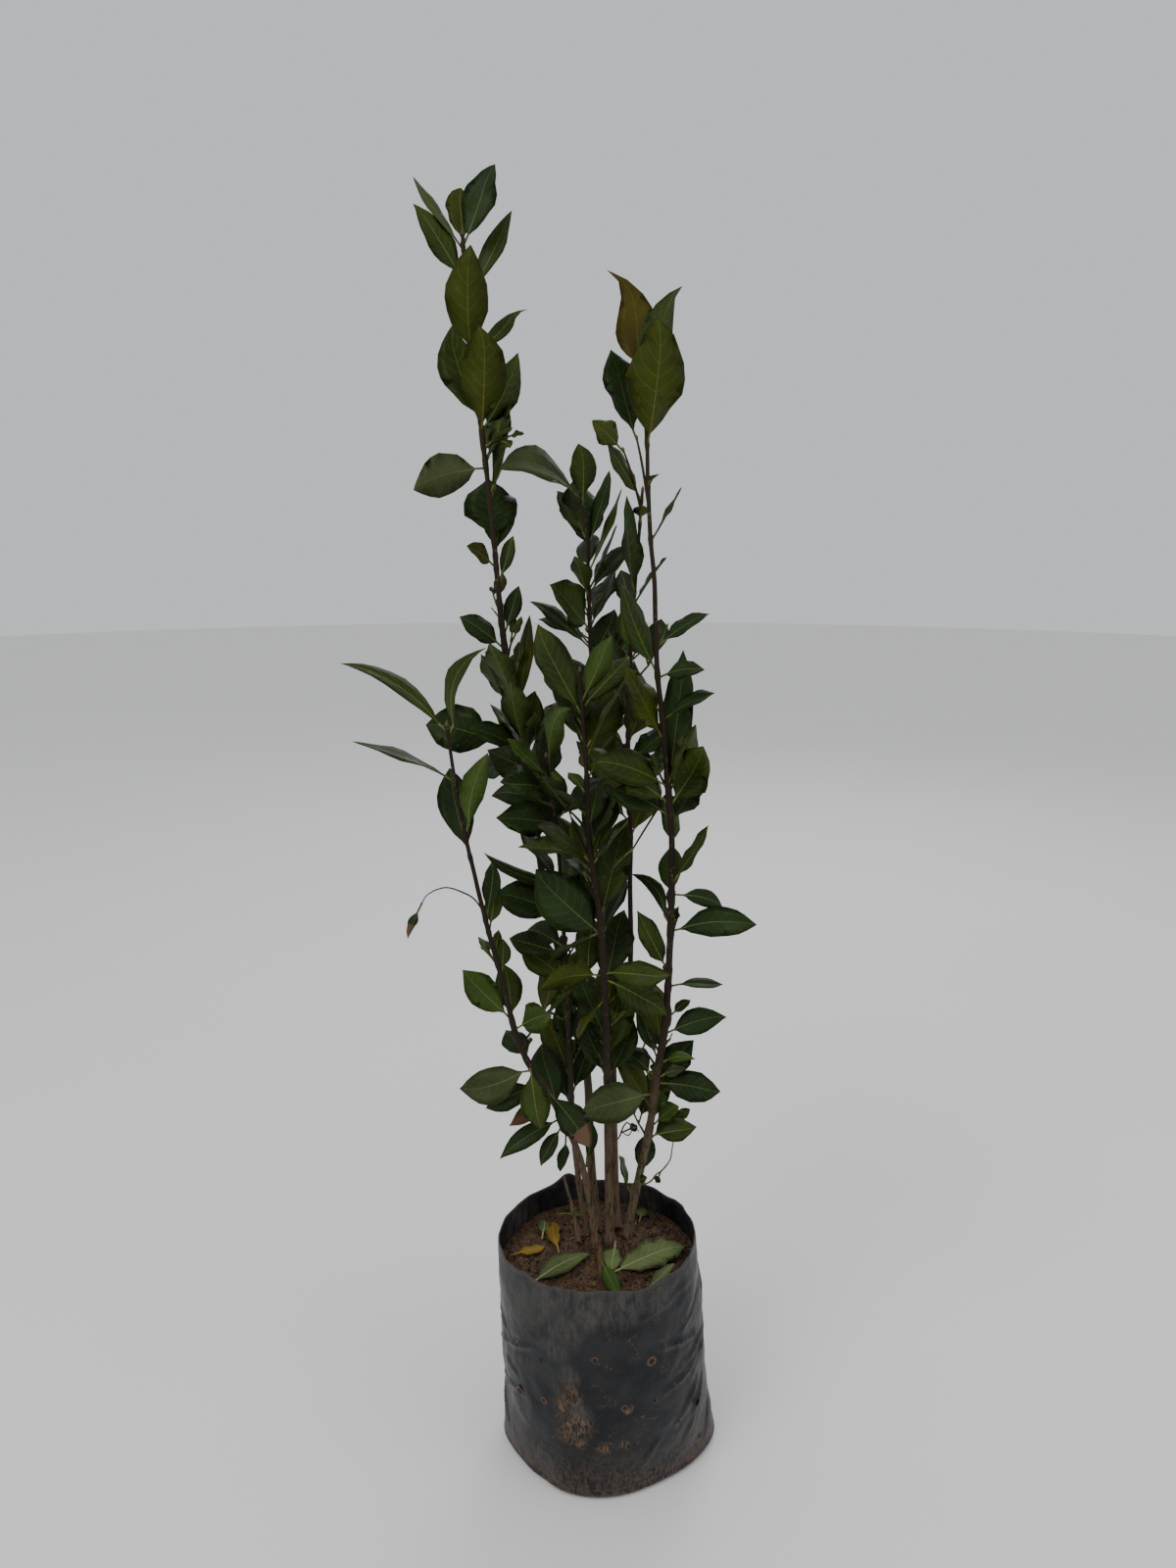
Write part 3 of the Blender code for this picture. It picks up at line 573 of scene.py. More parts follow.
def clearOf(tree, masses, mass, ownTrees):
    others = [other for near in masses if near is not mass for other in near.trees]
    return not any(tree.overlap(other) for other in others + ownTrees)


def rootIn(stem, z, turn):
    return stem.at(z) + heading(turn, 0) * growth["rootSink"] * stem.radius(z)


def inOpening(leaf):
    # whether a leaf would close one of the gaps between the stems, as seen from the front
    eye = Vector(growth["eye"])
    for share in (0.3, 0.5, 0.7, 0.9):
        point = leaf.middle(share)
        seen = eye.lerp(point, eye.y / (eye.y - point.y))
        if any(math.hypot(seen.x - x * mm, seen.z - z * mm) < (r + openingRim) * mm for x, z, r in openings):
            return True
    return False


def placeLeaf(masses, mass, rootOf, turn, rise, length, width, roll, tint="", look=None, must=False):
    for strict in ((True, False) if must else (True,)):
        for moreTurn, moreRise in growth["turnsToTry"]:
            leaf = Leaf(rootOf(turn + moreTurn), turn + moreTurn, rise + moreRise,
                        length * mm, width * mm, roll)
            if not must and inOpening(leaf):
                continue
            tree = leaf.testBody()
            if clearOf(tree, masses, mass, mass.trees if strict else []):
                leaf.tint, leaf.look = tint, look or {}
                mass.leaves.append(leaf)
                mass.trees.append(tree)
                return


def placeTwig(masses, mass, z, turn, rise, length, must=False):
    start = rootIn(mass.stem, z, turn)
    end = start + heading(turn, rise) * length * mm
    tree = treeOfTube(twigRings(start, end, growth["testMargin"]))
    if not clearOf(tree, masses, mass, [] if must else mass.trees[1:]):
        return None
    mass.twigs.append((start, end))
    mass.trees.append(tree)
    return start, end


def setLeaves(masses, mass, form):
    for z, turn, rise, length, width, roll, *look in form["leaves"]:
        if mass.low < z * mm < mass.high:
            placeLeaf(masses, mass, lambda side: rootIn(mass.stem, z * mm, side),
                      turn, rise, length, width, roll, *look, must=True)
    for z, turn, rise, length, leaves in form["twigs"]:
        if mass.low < z * mm < mass.high:
            twig = placeTwig(masses, mass, z * mm, turn, rise, length, True)
            for share, *rest in leaves if twig else ():
                root = twigPoint(*twig, 0.97 * share)
                placeLeaf(masses, mass, lambda side: root, *rest, must=True)


def fillLeaves(masses, mass, count, reach, seed):
    rule, draw = fillRule, random.Random(seed)
    turn = draw.uniform(0, 360)
    span = mass.high - mass.low
    for k in range(count):
        z = mass.low + span * (rule["start"] + (reach - rule["start"]) * (k + 0.5) / count)
        turn = (turn + rule["goldenTurn"]) % 360
        side = rule["middle"] + rule["sideways"] * math.sin(math.radians(turn))
        rise, length = draw.uniform(*rule["rise"]), draw.uniform(*rule["length"])
        width, roll = length * draw.uniform(*rule["width"]), draw.uniform(*rule["roll"])
        if (k + 1) % rule["twigEvery"] == 0:
            twig = placeTwig(masses, mass, z, side, rise - rule["twigDrop"],
                             draw.uniform(*rule["twigLength"]))
            for spread in rule["twigLeaves"] if twig else ():
                root = twigPoint(*twig, rule["twigEnd"])
                placeLeaf(masses, mass, lambda way: root, side + spread, rise + rule["twigLeafLift"],
                          rule["twigLeafSize"] * length, rule["twigLeafSize"] * width, roll)
        else:
            placeLeaf(masses, mass, lambda way: rootIn(mass.stem, z, way),
                      side, rise, length, width, roll)


def growPlant():
    # gives the stems by name, each with its masses
    plant, masses, boughs = {}, [], []
    for name, form in stems.items():
        stem = Stem(form["axis"], form["foot"], form["tip"], form.get("flare", growth["rootFlare"]))
        gap, top = growth["clearance"], form["bareTop"] * mm
        boughs.append(Mass(f"stem_{name}", stem, stem.low + gap, top - gap / 2))
        plant[name] = dict(stem=stem, masses=[])
        for part, high in form["masses"]:
            plant[name]["masses"].append(Mass(f"foliage_{name}_{part}", stem, top + gap / 2,
                                              high * mm - gap / 2))
            top = high * mm
        masses += plant[name]["masses"]
    stub = Stem(**deadStub)
    boughs.append(Mass("stem_dead_stub", stub, stub.low + growth["clearance"], stub.high))
    every = boughs + masses
    fills = [fill for form in stems.values() for fill in form["fill"]]
    forms = [form for form in stems.values() for _ in form["masses"]]
    for mass, form in zip(masses, forms):
        setLeaves(every, mass, form)
    for seed, (mass, (count, reach)) in enumerate(zip(masses, fills)):
        fillLeaves(every, mass, count, reach, seed)
    return plant, stub


plant, stub = growPlant()
print("plant grown:", sum(len(mass.leaves) for form in plant.values() for mass in form["masses"]),
      "leaves")


# finishes

def sideVeins(place, along, aside, start):
    # eight pairs or so, leaving the rib at a slant and bending forward near the margin
    way = along * 8.0 + aside ** 1.35 * -2.0 + place.grain(45, 2) * 0.5
    return way.calc("PINGPONG", 0.5).spread(start, 0.5, kind="SMOOTHSTEP")


def withered(place, along, colour):
    # the dry end that a few leaves have, as long as the leaf's own value says
    dead = place.sheet.mark("dead")
    share = (place.grain(120, 4) * 0.3 + (along - 0.15) + dead).spread(0.985, 1.0)
    return (share * dead.spread(0.0, 0.05)).blend(colour, dryColour)


def leafUpper(place, form):
    # waxy upper side: mottled green, paler side veins that run forward to the margin
    along, aside, _ = place.sheet.mark("vein", "Vector").parts()
    line, cloud = sideVeins(place, along, aside, 0.43), place.grain(90, 4, 0.6)
    blotch = place.grain(24, 2, 0.5).spread(0.36, 0.64)
    colour = blotch.blend(times(0.72, form["upper"]), times(1.3, form["upper"]))
    colour = cloud.spread(0.5, 0.75, 0.0, 0.3).blend(colour, form["fleck"])
    colour = (line * 0.34).blend(colour, form["rib"])
    colour = aside.spread(0.93, 1.0, 0.0, 0.5).blend(colour, form["rib"])
    colour = place.grain(310, 2, 0.4).spread(0.73, 0.77, 0.0, 0.8).blend(colour, dryColour)
    return {"Base Color": withered(place, along, colour),
            "Roughness": cloud.spread(0.3, 0.7, form["gloss"], form["gloss"] + 0.14),
            "Specular IOR Level": 0.12, "Normal": (line * -0.6 + cloud * 0.5).relief(0.35 * mm, 0.6)}


def leafLower(place, form):
    # dull, paler underside with raised side veins
    along, aside, _ = place.sheet.mark("vein", "Vector").parts()
    line, cloud = sideVeins(place, along, aside, 0.41), place.grain(70, 3, 0.6)
    colour = cloud.spread(0.35, 0.65).blend(form["lower"], times(1.2, form["lower"]))
    colour = (line * 0.36).blend(colour, form["rib"])
    return {"Base Color": withered(place, along, colour), "Roughness": 0.62,
            "Specular IOR Level": 0.12, "Normal": line.relief(0.3 * mm, 0.5)}


def leafRib(place, form):
    # midrib and stalk
    return {"Base Color": place.grain(160, 2).blend(times(0.8, form["rib"]), form["rib"]),
            "Roughness": 0.5, "Specular IOR Level": 0.25}


# linear base colours; gloss is the roughness of the waxy side
dryColour = (0.115, 0.062, 0.038)
leafTints = {
    "deep": dict(upper=(0.013, 0.0265, 0.0050), lower=(0.019, 0.032, 0.0085), rib=(0.080, 0.105, 0.022),
                 fleck=(0.024, 0.040, 0.009), gloss=0.36),
    "mid": dict(upper=(0.024, 0.041, 0.0050), lower=(0.030, 0.046, 0.0085), rib=(0.12, 0.145, 0.028),
                fleck=(0.036, 0.052, 0.009), gloss=0.38),
    "olive": dict(upper=(0.034, 0.043, 0.003), lower=(0.035, 0.045, 0.003), rib=(0.12, 0.11, 0.02),
                  fleck=(0.052, 0.052, 0.008), gloss=0.40),
    "fresh": dict(upper=(0.032, 0.060, 0.007), lower=(0.040, 0.066, 0.012), rib=(0.10, 0.13, 0.03),
                  fleck=(0.044, 0.076, 0.010), gloss=0.38),
    "pale": dict(upper=(0.040, 0.055, 0.017), lower=(0.052, 0.066, 0.024), rib=(0.11, 0.12, 0.04),
                 fleck=(0.055, 0.068, 0.022), gloss=0.46),
    "autumn": dict(upper=(0.050, 0.042, 0.004), lower=(0.054, 0.044, 0.006), rib=(0.12, 0.08, 0.02),
                   fleck=(0.066, 0.034, 0.005), gloss=0.44),
    "yellow": dict(upper=(0.19, 0.12, 0.014), lower=(0.17, 0.12, 0.025), rib=(0.24, 0.17, 0.04),
                   fleck=(0.24, 0.11, 0.012), gloss=0.55),
    "dry": dict(upper=(0.085, 0.042, 0.022), lower=(0.09, 0.05, 0.03), rib=(0.12, 0.065, 0.035),
                fleck=(0.13, 0.06, 0.035), gloss=0.62),
    "litter": dict(upper=(0.082, 0.108, 0.036), lower=(0.085, 0.105, 0.042), rib=(0.26, 0.28, 0.12),
                   fleck=(0.055, 0.078, 0.022), gloss=0.55)}
tintNames = list(leafTints)
# three for every tint, in the order of the blank's leafPart
leafPaints = [finish(f"leaf_{tint}_{side}", paint, form) for tint, form in leafTints.items()
              for side, paint in (("upper", leafUpper), ("lower", leafLower), ("rib", leafRib))]

bark = dict(foot=(0.165, 0.118, 0.070), shin=(0.026, 0.018, 0.011), young=(0.018, 0.0095, 0.0065),
            tip=(0.030, 0.021, 0.009), lichen=(0.085, 0.080, 0.055), crack=(0.016, 0.011, 0.007),
            fissures=420, fissureStretch=(1, 1, 0.16), shinHeight=0.40, youngHeight=0.60, tipHeight=1.0)


def barkPaint(place):
    # brown and cracked near the soil, redder above, green on the youngest wood
    height = place.grain(14, 2) * 0.16 + (place.parts()[2] - 0.08)
    colour = height.spread(0.21, bark["shinHeight"]).blend(bark["foot"], bark["shin"])
    colour = height.spread(bark["shinHeight"], bark["youngHeight"]).blend(colour, bark["young"])
    colour = height.spread(bark["youngHeight"], bark["tipHeight"]).blend(colour, bark["tip"])
    crack = place.grain(bark["fissures"], 5, 0.65, bark["fissureStretch"])
    colour = crack.spread(0.32, 0.50).blend(bark["crack"], colour)
    spots = place.sheet.get("ShaderNodeTexVoronoi", {"Vector": place, "Scale": 330}, "Distance")
    lichen = spots.spread(0.42, 0.25) * place.grain(60, 3).spread(0.54, 0.62)
    return {"Base Color": (lichen * 0.7).blend(colour, bark["lichen"]), "Roughness": 0.75,
            "Specular IOR Level": 0.15, "Normal": crack.relief(0.5 * mm, 0.8)}


barkFinish = finish("bark_brown", barkPaint)


# leaves

leafForm = dict(
    petioleRadius=growth["petioleRadius"], thickness=0.7 * mm, ribHalf=0.5 * mm, ribProud=0.45 * mm,
    # share of the blade's length, share of its half width
    outline=((0.06, 0.2), (0.14, 0.48), (0.26, 0.78), (0.39, 0.95), (0.52, 1.0), (0.65, 0.95),
             (0.77, 0.78), (0.87, 0.52), (0.95, 0.21)),
    sizes=dict(Petiole=growth["petiole"], Fold=0.2, Cup=0.09, Ripple=0.1, Waves=12.0, WaveShift=1.4,
               HookStart=0.7, Nicks=0.02, NickWaves=21.0, NickShift=2.3, WhipPower=7.0))
# how far apart leaves are in what their own look doesn't say, in the order it is drawn
leafLooks = dict(curl=(-0.015, 0.03), twist=(-0.26, 0.26), sway=(-0.12, 0.12), phase=(0, math.tau),
                 fold=(0.5, 1.6), ripple=(0.5, 2.1), lead=(0.88, 1.15), hook=(-0.7, 0.7),
                 whip=(0.0, 0.12), dead=(0, 0))


def leafBlank(form, name="leafBlank", scallops=0.0):
    # one flat leaf of unit length and half width; its attributes say where each point goes
    pressed, edge, vein = [], [], []

    def add(along, across, side, height, aside=0.0):
        pressed.append((along, across, 0))
        edge.append((0, side, height))
        vein.append((max(0, along), aside, 0))

    radius = form["petioleRadius"]
    for along in (-1.0, 0.0):
        for k in range(8):
            turn = math.pi - math.tau * k / 8
            add(along, 0, radius * math.cos(turn), radius * math.sin(turn))
    for n, (along, breadth) in enumerate(form["outline"]):
        breadth *= 1 + scallops * (-1) ** n
        thick, rib = 0.5 * form["thickness"], form["ribHalf"] * (1 - 0.75 * along)
        ribTop, ribLow = thick - 0.1 * mm, thick + form["ribProud"] * (1 - 0.7 * along)
        for across, side, height in ((-1, 0, 0), (-0.5, 0, thick), (0, -rib, ribTop), (0, rib, ribTop),
                                     (0.5, 0, thick), (1, 0, 0), (0, rib, -ribLow), (0, -rib, -ribLow)):
            add(along, across * breadth, side, height, abs(across))
    add(1, 0, 0, 0)
    rings, tip = 2 + len(form["outline"]), len(pressed) - 1
    faces = [tuple(reversed(face)) for face in ringFaces(rings, 8)]
    faces += [(tip, tip - 8 + (k + 1) % 8, tip - 8 + k) for k in range(8)] + [tuple(range(8))]
    # upper side 0, lower side 1, rib and stalk 2
    part = [2] * 8 + [0, 0, 2, 0, 0, 1, 2, 1] * (rings - 1) + [2]
    blank = shape(name, [(a, x, h) for (a, x, _), (_, _, h) in zip(pressed, edge)], faces)
    give(blank, pressed=pressed, edge=edge, vein=vein)
    give(blank, "FACE", leafPart=part)
    return blank


def leafTree():
    # lays a copy of the blank along every seed point's own curve
    sheet, given = newTree("layLeaves", Object="Blank", Float=" ".join(leafForm["sizes"]))
    whole = sheet.copies(given)
    pressed, edge = [sheet.named(name, "FLOAT_VECTOR").parts() for name in ("pressed", "edge")]
    root, along, across, upper, arch = [sheet.named(name, "FLOAT_VECTOR")
                                        for name in ("root", "along", "across", "upper", "arch")]
    length, half, bow = [sheet.named(name) for name in ("length", "half", "bow")]
    curl, twist, sway, phase, fold, ripple, lead, hook, whip, _ = [sheet.named(name) for name in leafLooks]
    blade = pressed[0].calc("MAXIMUM", 0.0) ** lead
    # whip draws the tip out thin
    blade = whip * (blade ** given["WhipPower"] - blade) + blade
    stalk = given["Petiole"] / length
    share = stalk * (pressed[0].calc("MINIMUM", 0.0) + 1.0) + (1.0 - stalk) * blade
    centre = root + along * (length * share) + arch * (bow * (share * (1.0 - share) * 4.0))
    centre = centre - upper * (curl * length * (blade * blade))
    past = (blade - given["HookStart"]).calc("MAXIMUM", 0.0)
    aside = sway * length * (blade * (1.0 - blade)) + hook * length * (past * past)
    centre = centre + across * aside
    acrossWay, upperWay = [
        sheet.get("ShaderNodeVectorRotate", {"Vector": way, "Axis": along, "Angle": twist * blade})
        for way in (across, upper)]
    out, side = pressed[1].calc("ABSOLUTE"), pressed[1].calc("SIGN")
    wave = (given["Waves"] * blade + (side * given["WaveShift"] + phase)).calc("SINE")
    lift = given["Fold"] * fold * out - given["Cup"] * (out * out) + given["Ripple"] * ripple * wave * out
    nick = (blade * given["NickWaves"] + (phase * given["NickShift"] + side)).calc("SINE")
    breadth = pressed[1] * (given["Nicks"] * ripple * nick + 1.0)
    place = centre + acrossWay * (breadth * half + edge[1]) + upperWay * (lift * half + edge[2])
    made = sheet.get("GeometryNodeSetPosition", {"Geometry": whole, "Position": place})
    made = sheet.get("GeometryNodeSetShadeSmooth", {"Geometry": made})
    kind = sheet.named("tint") * 3.0 + sheet.named("leafPart")
    for k, paint in enumerate(leafPaints):
        same = sheet.get("FunctionNodeCompare", {"A": kind, "B": float(k), "Epsilon": 0.3},
                         operation="EQUAL")
        made = sheet.dress(made, paint, Selection=same)
    return sheet.end(made)


def leafPiece(name, leaves, blank, form=leafForm):
    # leaves: each a Leaf with a tint; what its look doesn't say is drawn from one seed
    draw = random.Random(name)
    values = {label: [leaf.look.get(label, draw.uniform(*reach)) for leaf in leaves]
              for label, reach in leafLooks.items()}
    for label in ("root", "along", "across", "upper", "arch", "length", "bow"):
        values[label] = [getattr(leaf, label) for leaf in leaves]
    seeds = shape(name, values["root"], [])
    give(seeds, **values, half=[0.5 * leaf.width for leaf in leaves],
         tint=[tintNames.index(leaf.tint) for leaf in leaves])
    return runTree(seeds, layLeaves, dict(form["sizes"], Blank=blank))


# side shoots: finer twigs with small young leaves, by the same rule and in the same room

shoots = dict(step=24 * mm, chance=0.5, side=90, spread=55, length=(9, 18), rise=(35, 65),
              leafLength=(16, 30), leafWidth=(0.36, 0.5), tints=("fresh", "mid", "deep", "olive"),
              bareOf=("upper", "crown"), seed=31)


def growShoots(masses, mass, draw):
    z = mass.low + 0.5 * shoots["step"]
    while z < mass.high - 0.4 * shoots["step"]:
        turn = shoots["side"] + draw.uniform(-1, 1) * shoots["spread"]
        length, rise = draw.uniform(*shoots["length"]), draw.uniform(*shoots["rise"])
        if draw.random() < shoots["chance"]:
            twig = placeTwig(masses, mass, z, turn, rise, length)
            count = draw.choice((2, 3, 3))
            for k in range(count if twig else 0):
                root = twigPoint(*twig, 0.95 - 0.3 * (k == 2))
                long = draw.uniform(*shoots["leafLength"])
                placeLeaf(masses, mass, lambda way: root, turn + (k - 1) * 75 + draw.uniform(-20, 20),
                          rise + draw.uniform(-20, 20), long, long * draw.uniform(*shoots["leafWidth"]),
                          draw.uniform(-40, 40), tint=draw.choice(shoots["tints"]))
        z += shoots["step"] * draw.uniform(0.7, 1.3)


def dealTints():
    # leaves that no row gives a colour are mostly dark, some middling, a few olive
    draw = random.Random(5)
    for form in plant.values():
        for mass in form["masses"]:
            for leaf in mass.leaves:
                if not leaf.tint:
                    leaf.tint = draw.choices(("deep", "mid", "olive"), (0.55, 0.35, 0.1))[0]


shootDraw = random.Random(shoots["seed"])
everyMass = [mass for form in plant.values() for mass in form["masses"]]
for mass in everyMass:
    if not mass.name.endswith(shoots["bareOf"]):
        growShoots(everyMass, mass, shootDraw)
dealTints()
blank = leafBlank(leafForm)
layLeaves = leafTree()
for name, form in plant.items():
    leaves = [leaf for mass in form["masses"] for leaf in mass.leaves]
    settle(leafPiece(f"leaves_{name}", leaves, blank), "foliage", *[mass.name for mass in form["masses"]])
print("leaves laid:", sum(len(mass.leaves) for mass in everyMass))


# stems and twigs

wood = dict(step=3 * mm, sides=16, twigSides=9, thinSides=7, sink=5 * mm, knuckle=0.55 * mm,
            knuckleReach=2.6 * mm, reliefDepth=0.32 * mm, reliefScale=230.0, wobble=0.35 * mm,
            reliefStretch=(1, 1, 0.3), twigTaper=0.035, sprigTaper=0.4, forkHeight=210 * mm,
            forkGap=-1 * mm, stubKnuckle=236 * mm)


def pathTree():
    # a round rod along every chain of edges, as thick as its points say, with a rough skin
    sheet, given = newTree("growWood", Int="Sides", Float="ReliefDepth ReliefScale", Material="Skin")
    girth = sheet.named("girth")
    line = sheet.get("GeometryNodeMeshToCurve", {"Mesh": given["Geometry"]})
    line = sheet.get("GeometryNodeSetCurveRadius", {"Curve": line, "Radius": girth})
    ring = sheet.get("GeometryNodeCurvePrimitiveCircle", {"Resolution": given["Sides"], "Radius": 1.0},
                     "Curve")
    rod = sheet.get("GeometryNodeCurveToMesh", {"Curve": line, "Profile Curve": ring, "Scale": girth,
                                                "Fill Caps": True})
    rough = sheet.get("GeometryNodeInputPosition").grain(given["ReliefScale"], 3.0, 0.5,
                                                           wood["reliefStretch"])
    push = sheet.get("GeometryNodeInputNormal", out="Normal") * ((rough - 0.5) * given["ReliefDepth"])
    rod = sheet.get("GeometryNodeSetPosition", {"Geometry": rod, "Offset": push})
    rod = sheet.get("GeometryNodeSetShadeSmooth", {"Geometry": rod})
    rod = sheet.get("GeometryNodeRealizeInstances", {"Geometry": rod})
    return sheet.end(sheet.dress(rod, given["Skin"]))


def woodPiece(name, paths, sides):
    # paths: lists of (point, radius)
    edges, first = [], 0
    for path in paths:
        edges += [(first + k, first + k + 1) for k in range(len(path) - 1)]
        first += len(path)
    piece = shape(name, [point for path in paths for point, _ in path], [], edges)
    give(piece, girth=[radius for path in paths for _, radius in path])
    return runTree(piece, growWood, dict(Sides=sides, ReliefDepth=wood["reliefDepth"],
                                         ReliefScale=wood["reliefScale"], Skin=barkFinish))


def stemPath(stem, low, high, joints):
    # thickest at the foot, with a knuckle wherever a leaf or twig leaves it
    count = round((high - low) / wood["step"])
    path = []
    for k in range(count + 1):
        z = low + (high - low) * k / count
        swell = sum(math.exp(-((z - joint) / wood["knuckleReach"]) ** 2) for joint in joints)
        sway = noise.noise_vector(Vector((stem.foot * 9e3, 0, z * 38))) * wood["wobble"]
        path.append((stem.at(z) + Vector((sway.x, sway.y, 0)),
                     stem.radius(max(z, stem.low)) + wood["knuckle"] * min(1, swell)))
    return path


def twigPath(start, end, radius=growth["twigRadius"]):
    return [(twigPoint(start, end, k / 10), radius * (1 - wood["twigTaper"] * k)) for k in range(11)]


growWood = pathTree()
for name, form in plant.items():
    stem = form["stem"]
    joints = [leaf.root.z for mass in form["masses"] for leaf in mass.leaves]
    # a stem goes down into the soil, a bough starts just over its fork
    low = stem.low - (wood["sink"] if stem.low < wood["forkHeight"] else wood["forkGap"])
    settle(woodPiece(f"wood_{name}", [stemPath(stem, low, stem.high, joints)], wood["sides"]),
           "bark", f"stem_{name}")
twigs = [twig for mass in everyMass for twig in mass.twigs]
settle(woodPiece("twigs_side", [twigPath(*twig) for twig in twigs], wood["twigSides"]), "bark")
stubPath = stemPath(stub, stub.low - wood["sink"], stub.high, [wood["stubKnuckle"]])
settle(woodPiece("wood_dead_stub", [stubPath], wood["sides"]), "bark", "stem_dead_stub")
print("stems and twigs grown:", len(twigs), "twigs")


# thin shoots drawn one by one: the stem, the height they leave it, then their points and thickness

sprigs = (("right", 656, ((42, -26, 651), (35, -26, 638), (25, -26, 621), (17, -26, 607)), 1.2),
          ("right", 262, ((37, 14, 264), (44, 15, 272), (49, 15, 276), (56, 15, 286), (58, 15, 296),
                          (59, 15, 311), (55, 14, 322)), 0.9),
          ("centre_front", 304, ((3, 12, 307), (8, 15, 311), (12, 15, 322), (16, 15, 326), (20, 15, 320),
                                 (17, 15, 313), (12, 15, 315)), 0.9),
          ("centre_front", 600, ((-23, -29, 606), (-34, -28, 630), (-40, -28, 651)), 1.0),
          ("left_outer", 556, ((-118, -38, 566), (-128, -38, 572), (-140, -38, 576), (-150, -38, 574),
                               (-158, -38, 569), (-162, -38, 563)), 0.8),
          ("left_centre", 312, ((-39, 10, 317), (-42, 4, 320)), 0.8),
          ("left_centre", 268, ((-27, 12, 274), (-23, 8, 284)), 0.7),
          ("right", 240, ((19, 8, 252), (20, 4, 266), (26, 0, 276)), 0.9))
# leaves on them: which shoot, how far along, turn, rise, length, width, roll, colour, look
sprigLeaves = ((0, 1.0, 200, -40, 24, 9, 60, "mid", dict()),
               (1, 0.4, 110, -60, 22, 9, 60, "deep", dict()),
               (1, 1.0, 20, 40, 26, 10, 40, "deep", dict(curl=0.1)),
               (2, 0.35, 20, 10, 18, 9, 50, "deep", dict(curl=0.1)),
               (2, 0.7, 60, -30, 16, 8, 50, "deep", dict(curl=0.1)),
               (3, 1.0, 150, 60, 26, 10, -60, "fresh", dict()),
               (4, 1.0, 190, -62, 34, 10, 60, "deep", dict(curl=0.12, whip=0.2, dead=0.4)),
               (5, 1.0, 200, -80, 36, 16, 70, "deep", dict(curl=0.08)),
               (5, 0.5, 235, 55, 26, 14, -20, "deep", dict()),
               (6, 1.0, 75, 78, 46, 12, 20, "deep", dict(sway=0.3)),
               (7, 0.45, 215, 74, 46, 18, -50, "mid", dict(sway=0.2)),
               (7, 1.0, 60, 66, 44, 20, 30, "deep", dict()),
               (7, 0.8, 320, 40, 18, 9, 50, "deep", dict(curl=0.1)))


def sprigPath(name, height, points, thick):
    start = plant[name]["stem"].at(height * mm)
    line = Stem([start / mm, *points], 1, 1).line
    return [(point, thick * mm * (1 - wood["sprigTaper"] * k / len(line))) for k, point in enumerate(line)]


sprigPaths = [sprigPath(*row) for row in sprigs]
settle(woodPiece("twigs_thin", sprigPaths, wood["thinSides"]), "bark")
loose = []
for row, along, turn, rise, length, width, roll, tint, look in sprigLeaves:
    chain = sprigPaths[row]
    leaf = Leaf(chain[round(along * (len(chain) - 1))][0], turn, rise, length * mm, width * mm, roll)
    leaf.tint, leaf.look = tint, look
    loose.append(leaf)
settle(leafPiece("leaves_thin_twigs", loose, blank), "foliage")


# buds in the leaf axils

buds = dict(sides=6, rings=((0.0, 0.55), (0.3, 1.0), (0.62, 0.8), (0.86, 0.36)), girth=0.26,
            length=(3.2 * mm, 5.2 * mm), topLength=6 * mm, lean=0.9, offset=1 * mm, chance=0.5, seed=12,
            colour=(0.075, 0.040, 0.020), tip=(0.10, 0.070, 0.026))


def budPaint(place):
    return {"Base Color": place.grain(420, 3).blend(buds["colour"], buds["tip"]), "Roughness": 0.5,
            "Specular IOR Level": 0.25}


def budRows():
    # place, way and length of every bud: at leaf roots by chance, and one on every crown's tip
    draw = random.Random(buds["seed"])
    offset = Vector((0, 0, buds["offset"]))
    for mass in everyMass:
        for leaf in mass.leaves:
            if draw.random() < buds["chance"]:
                yield (leaf.root + offset, leaf.along + Vector((0, 0, buds["lean"])),
                       draw.uniform(*buds["length"]))
        if mass.name.endswith("crown"):
            yield mass.stem.at(mass.high) - offset, Vector((0, 0, 1)), buds["topLength"]


# a pointed bud one unit long, wrapped in scales
bud = closed("budBlank", [circle(buds["girth"] * out, up, buds["sides"]) for up, out in buds["rings"]],
             peak=(0, 0, 1))
settle(standing("buds", bud, budRows(), finish("bud_scales", budPaint)), "foliage")
print("thin twigs and buds set")


# nursery bag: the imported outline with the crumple, creases and waves of thin polythene

bag = dict(height=220 * mm, foot=(95 * mm, 84 * mm), rim=(92 * mm, 87 * mm), belly=3 * mm,
           rimShift=-13 * mm, corner=9 * mm, edge=7 * mm, wall=1.3 * mm, soilLevel=195 * mm,
           sides=252, levels=92, crumple=1.5 * mm, wrinkle=1.0 * mm, creaseWidth=2.5 * mm,
           creaseRise=1.4 * mm, meanRadius=91 * mm, lift=1.3 * mm, seamHeight=9 * mm, seamWidth=1.6 * mm,
           seamDepth=1.1 * mm, softScale=19, ridgeScale=(42, 42, 30), fineScale=130, fineRise=0.25 * mm,
           floorLift=0.3 * mm, lipRound=0.4 * mm, lipFade=45, bumpAngle=107,
           bumpHeight=9 * mm, rimWave=2.3 * mm)
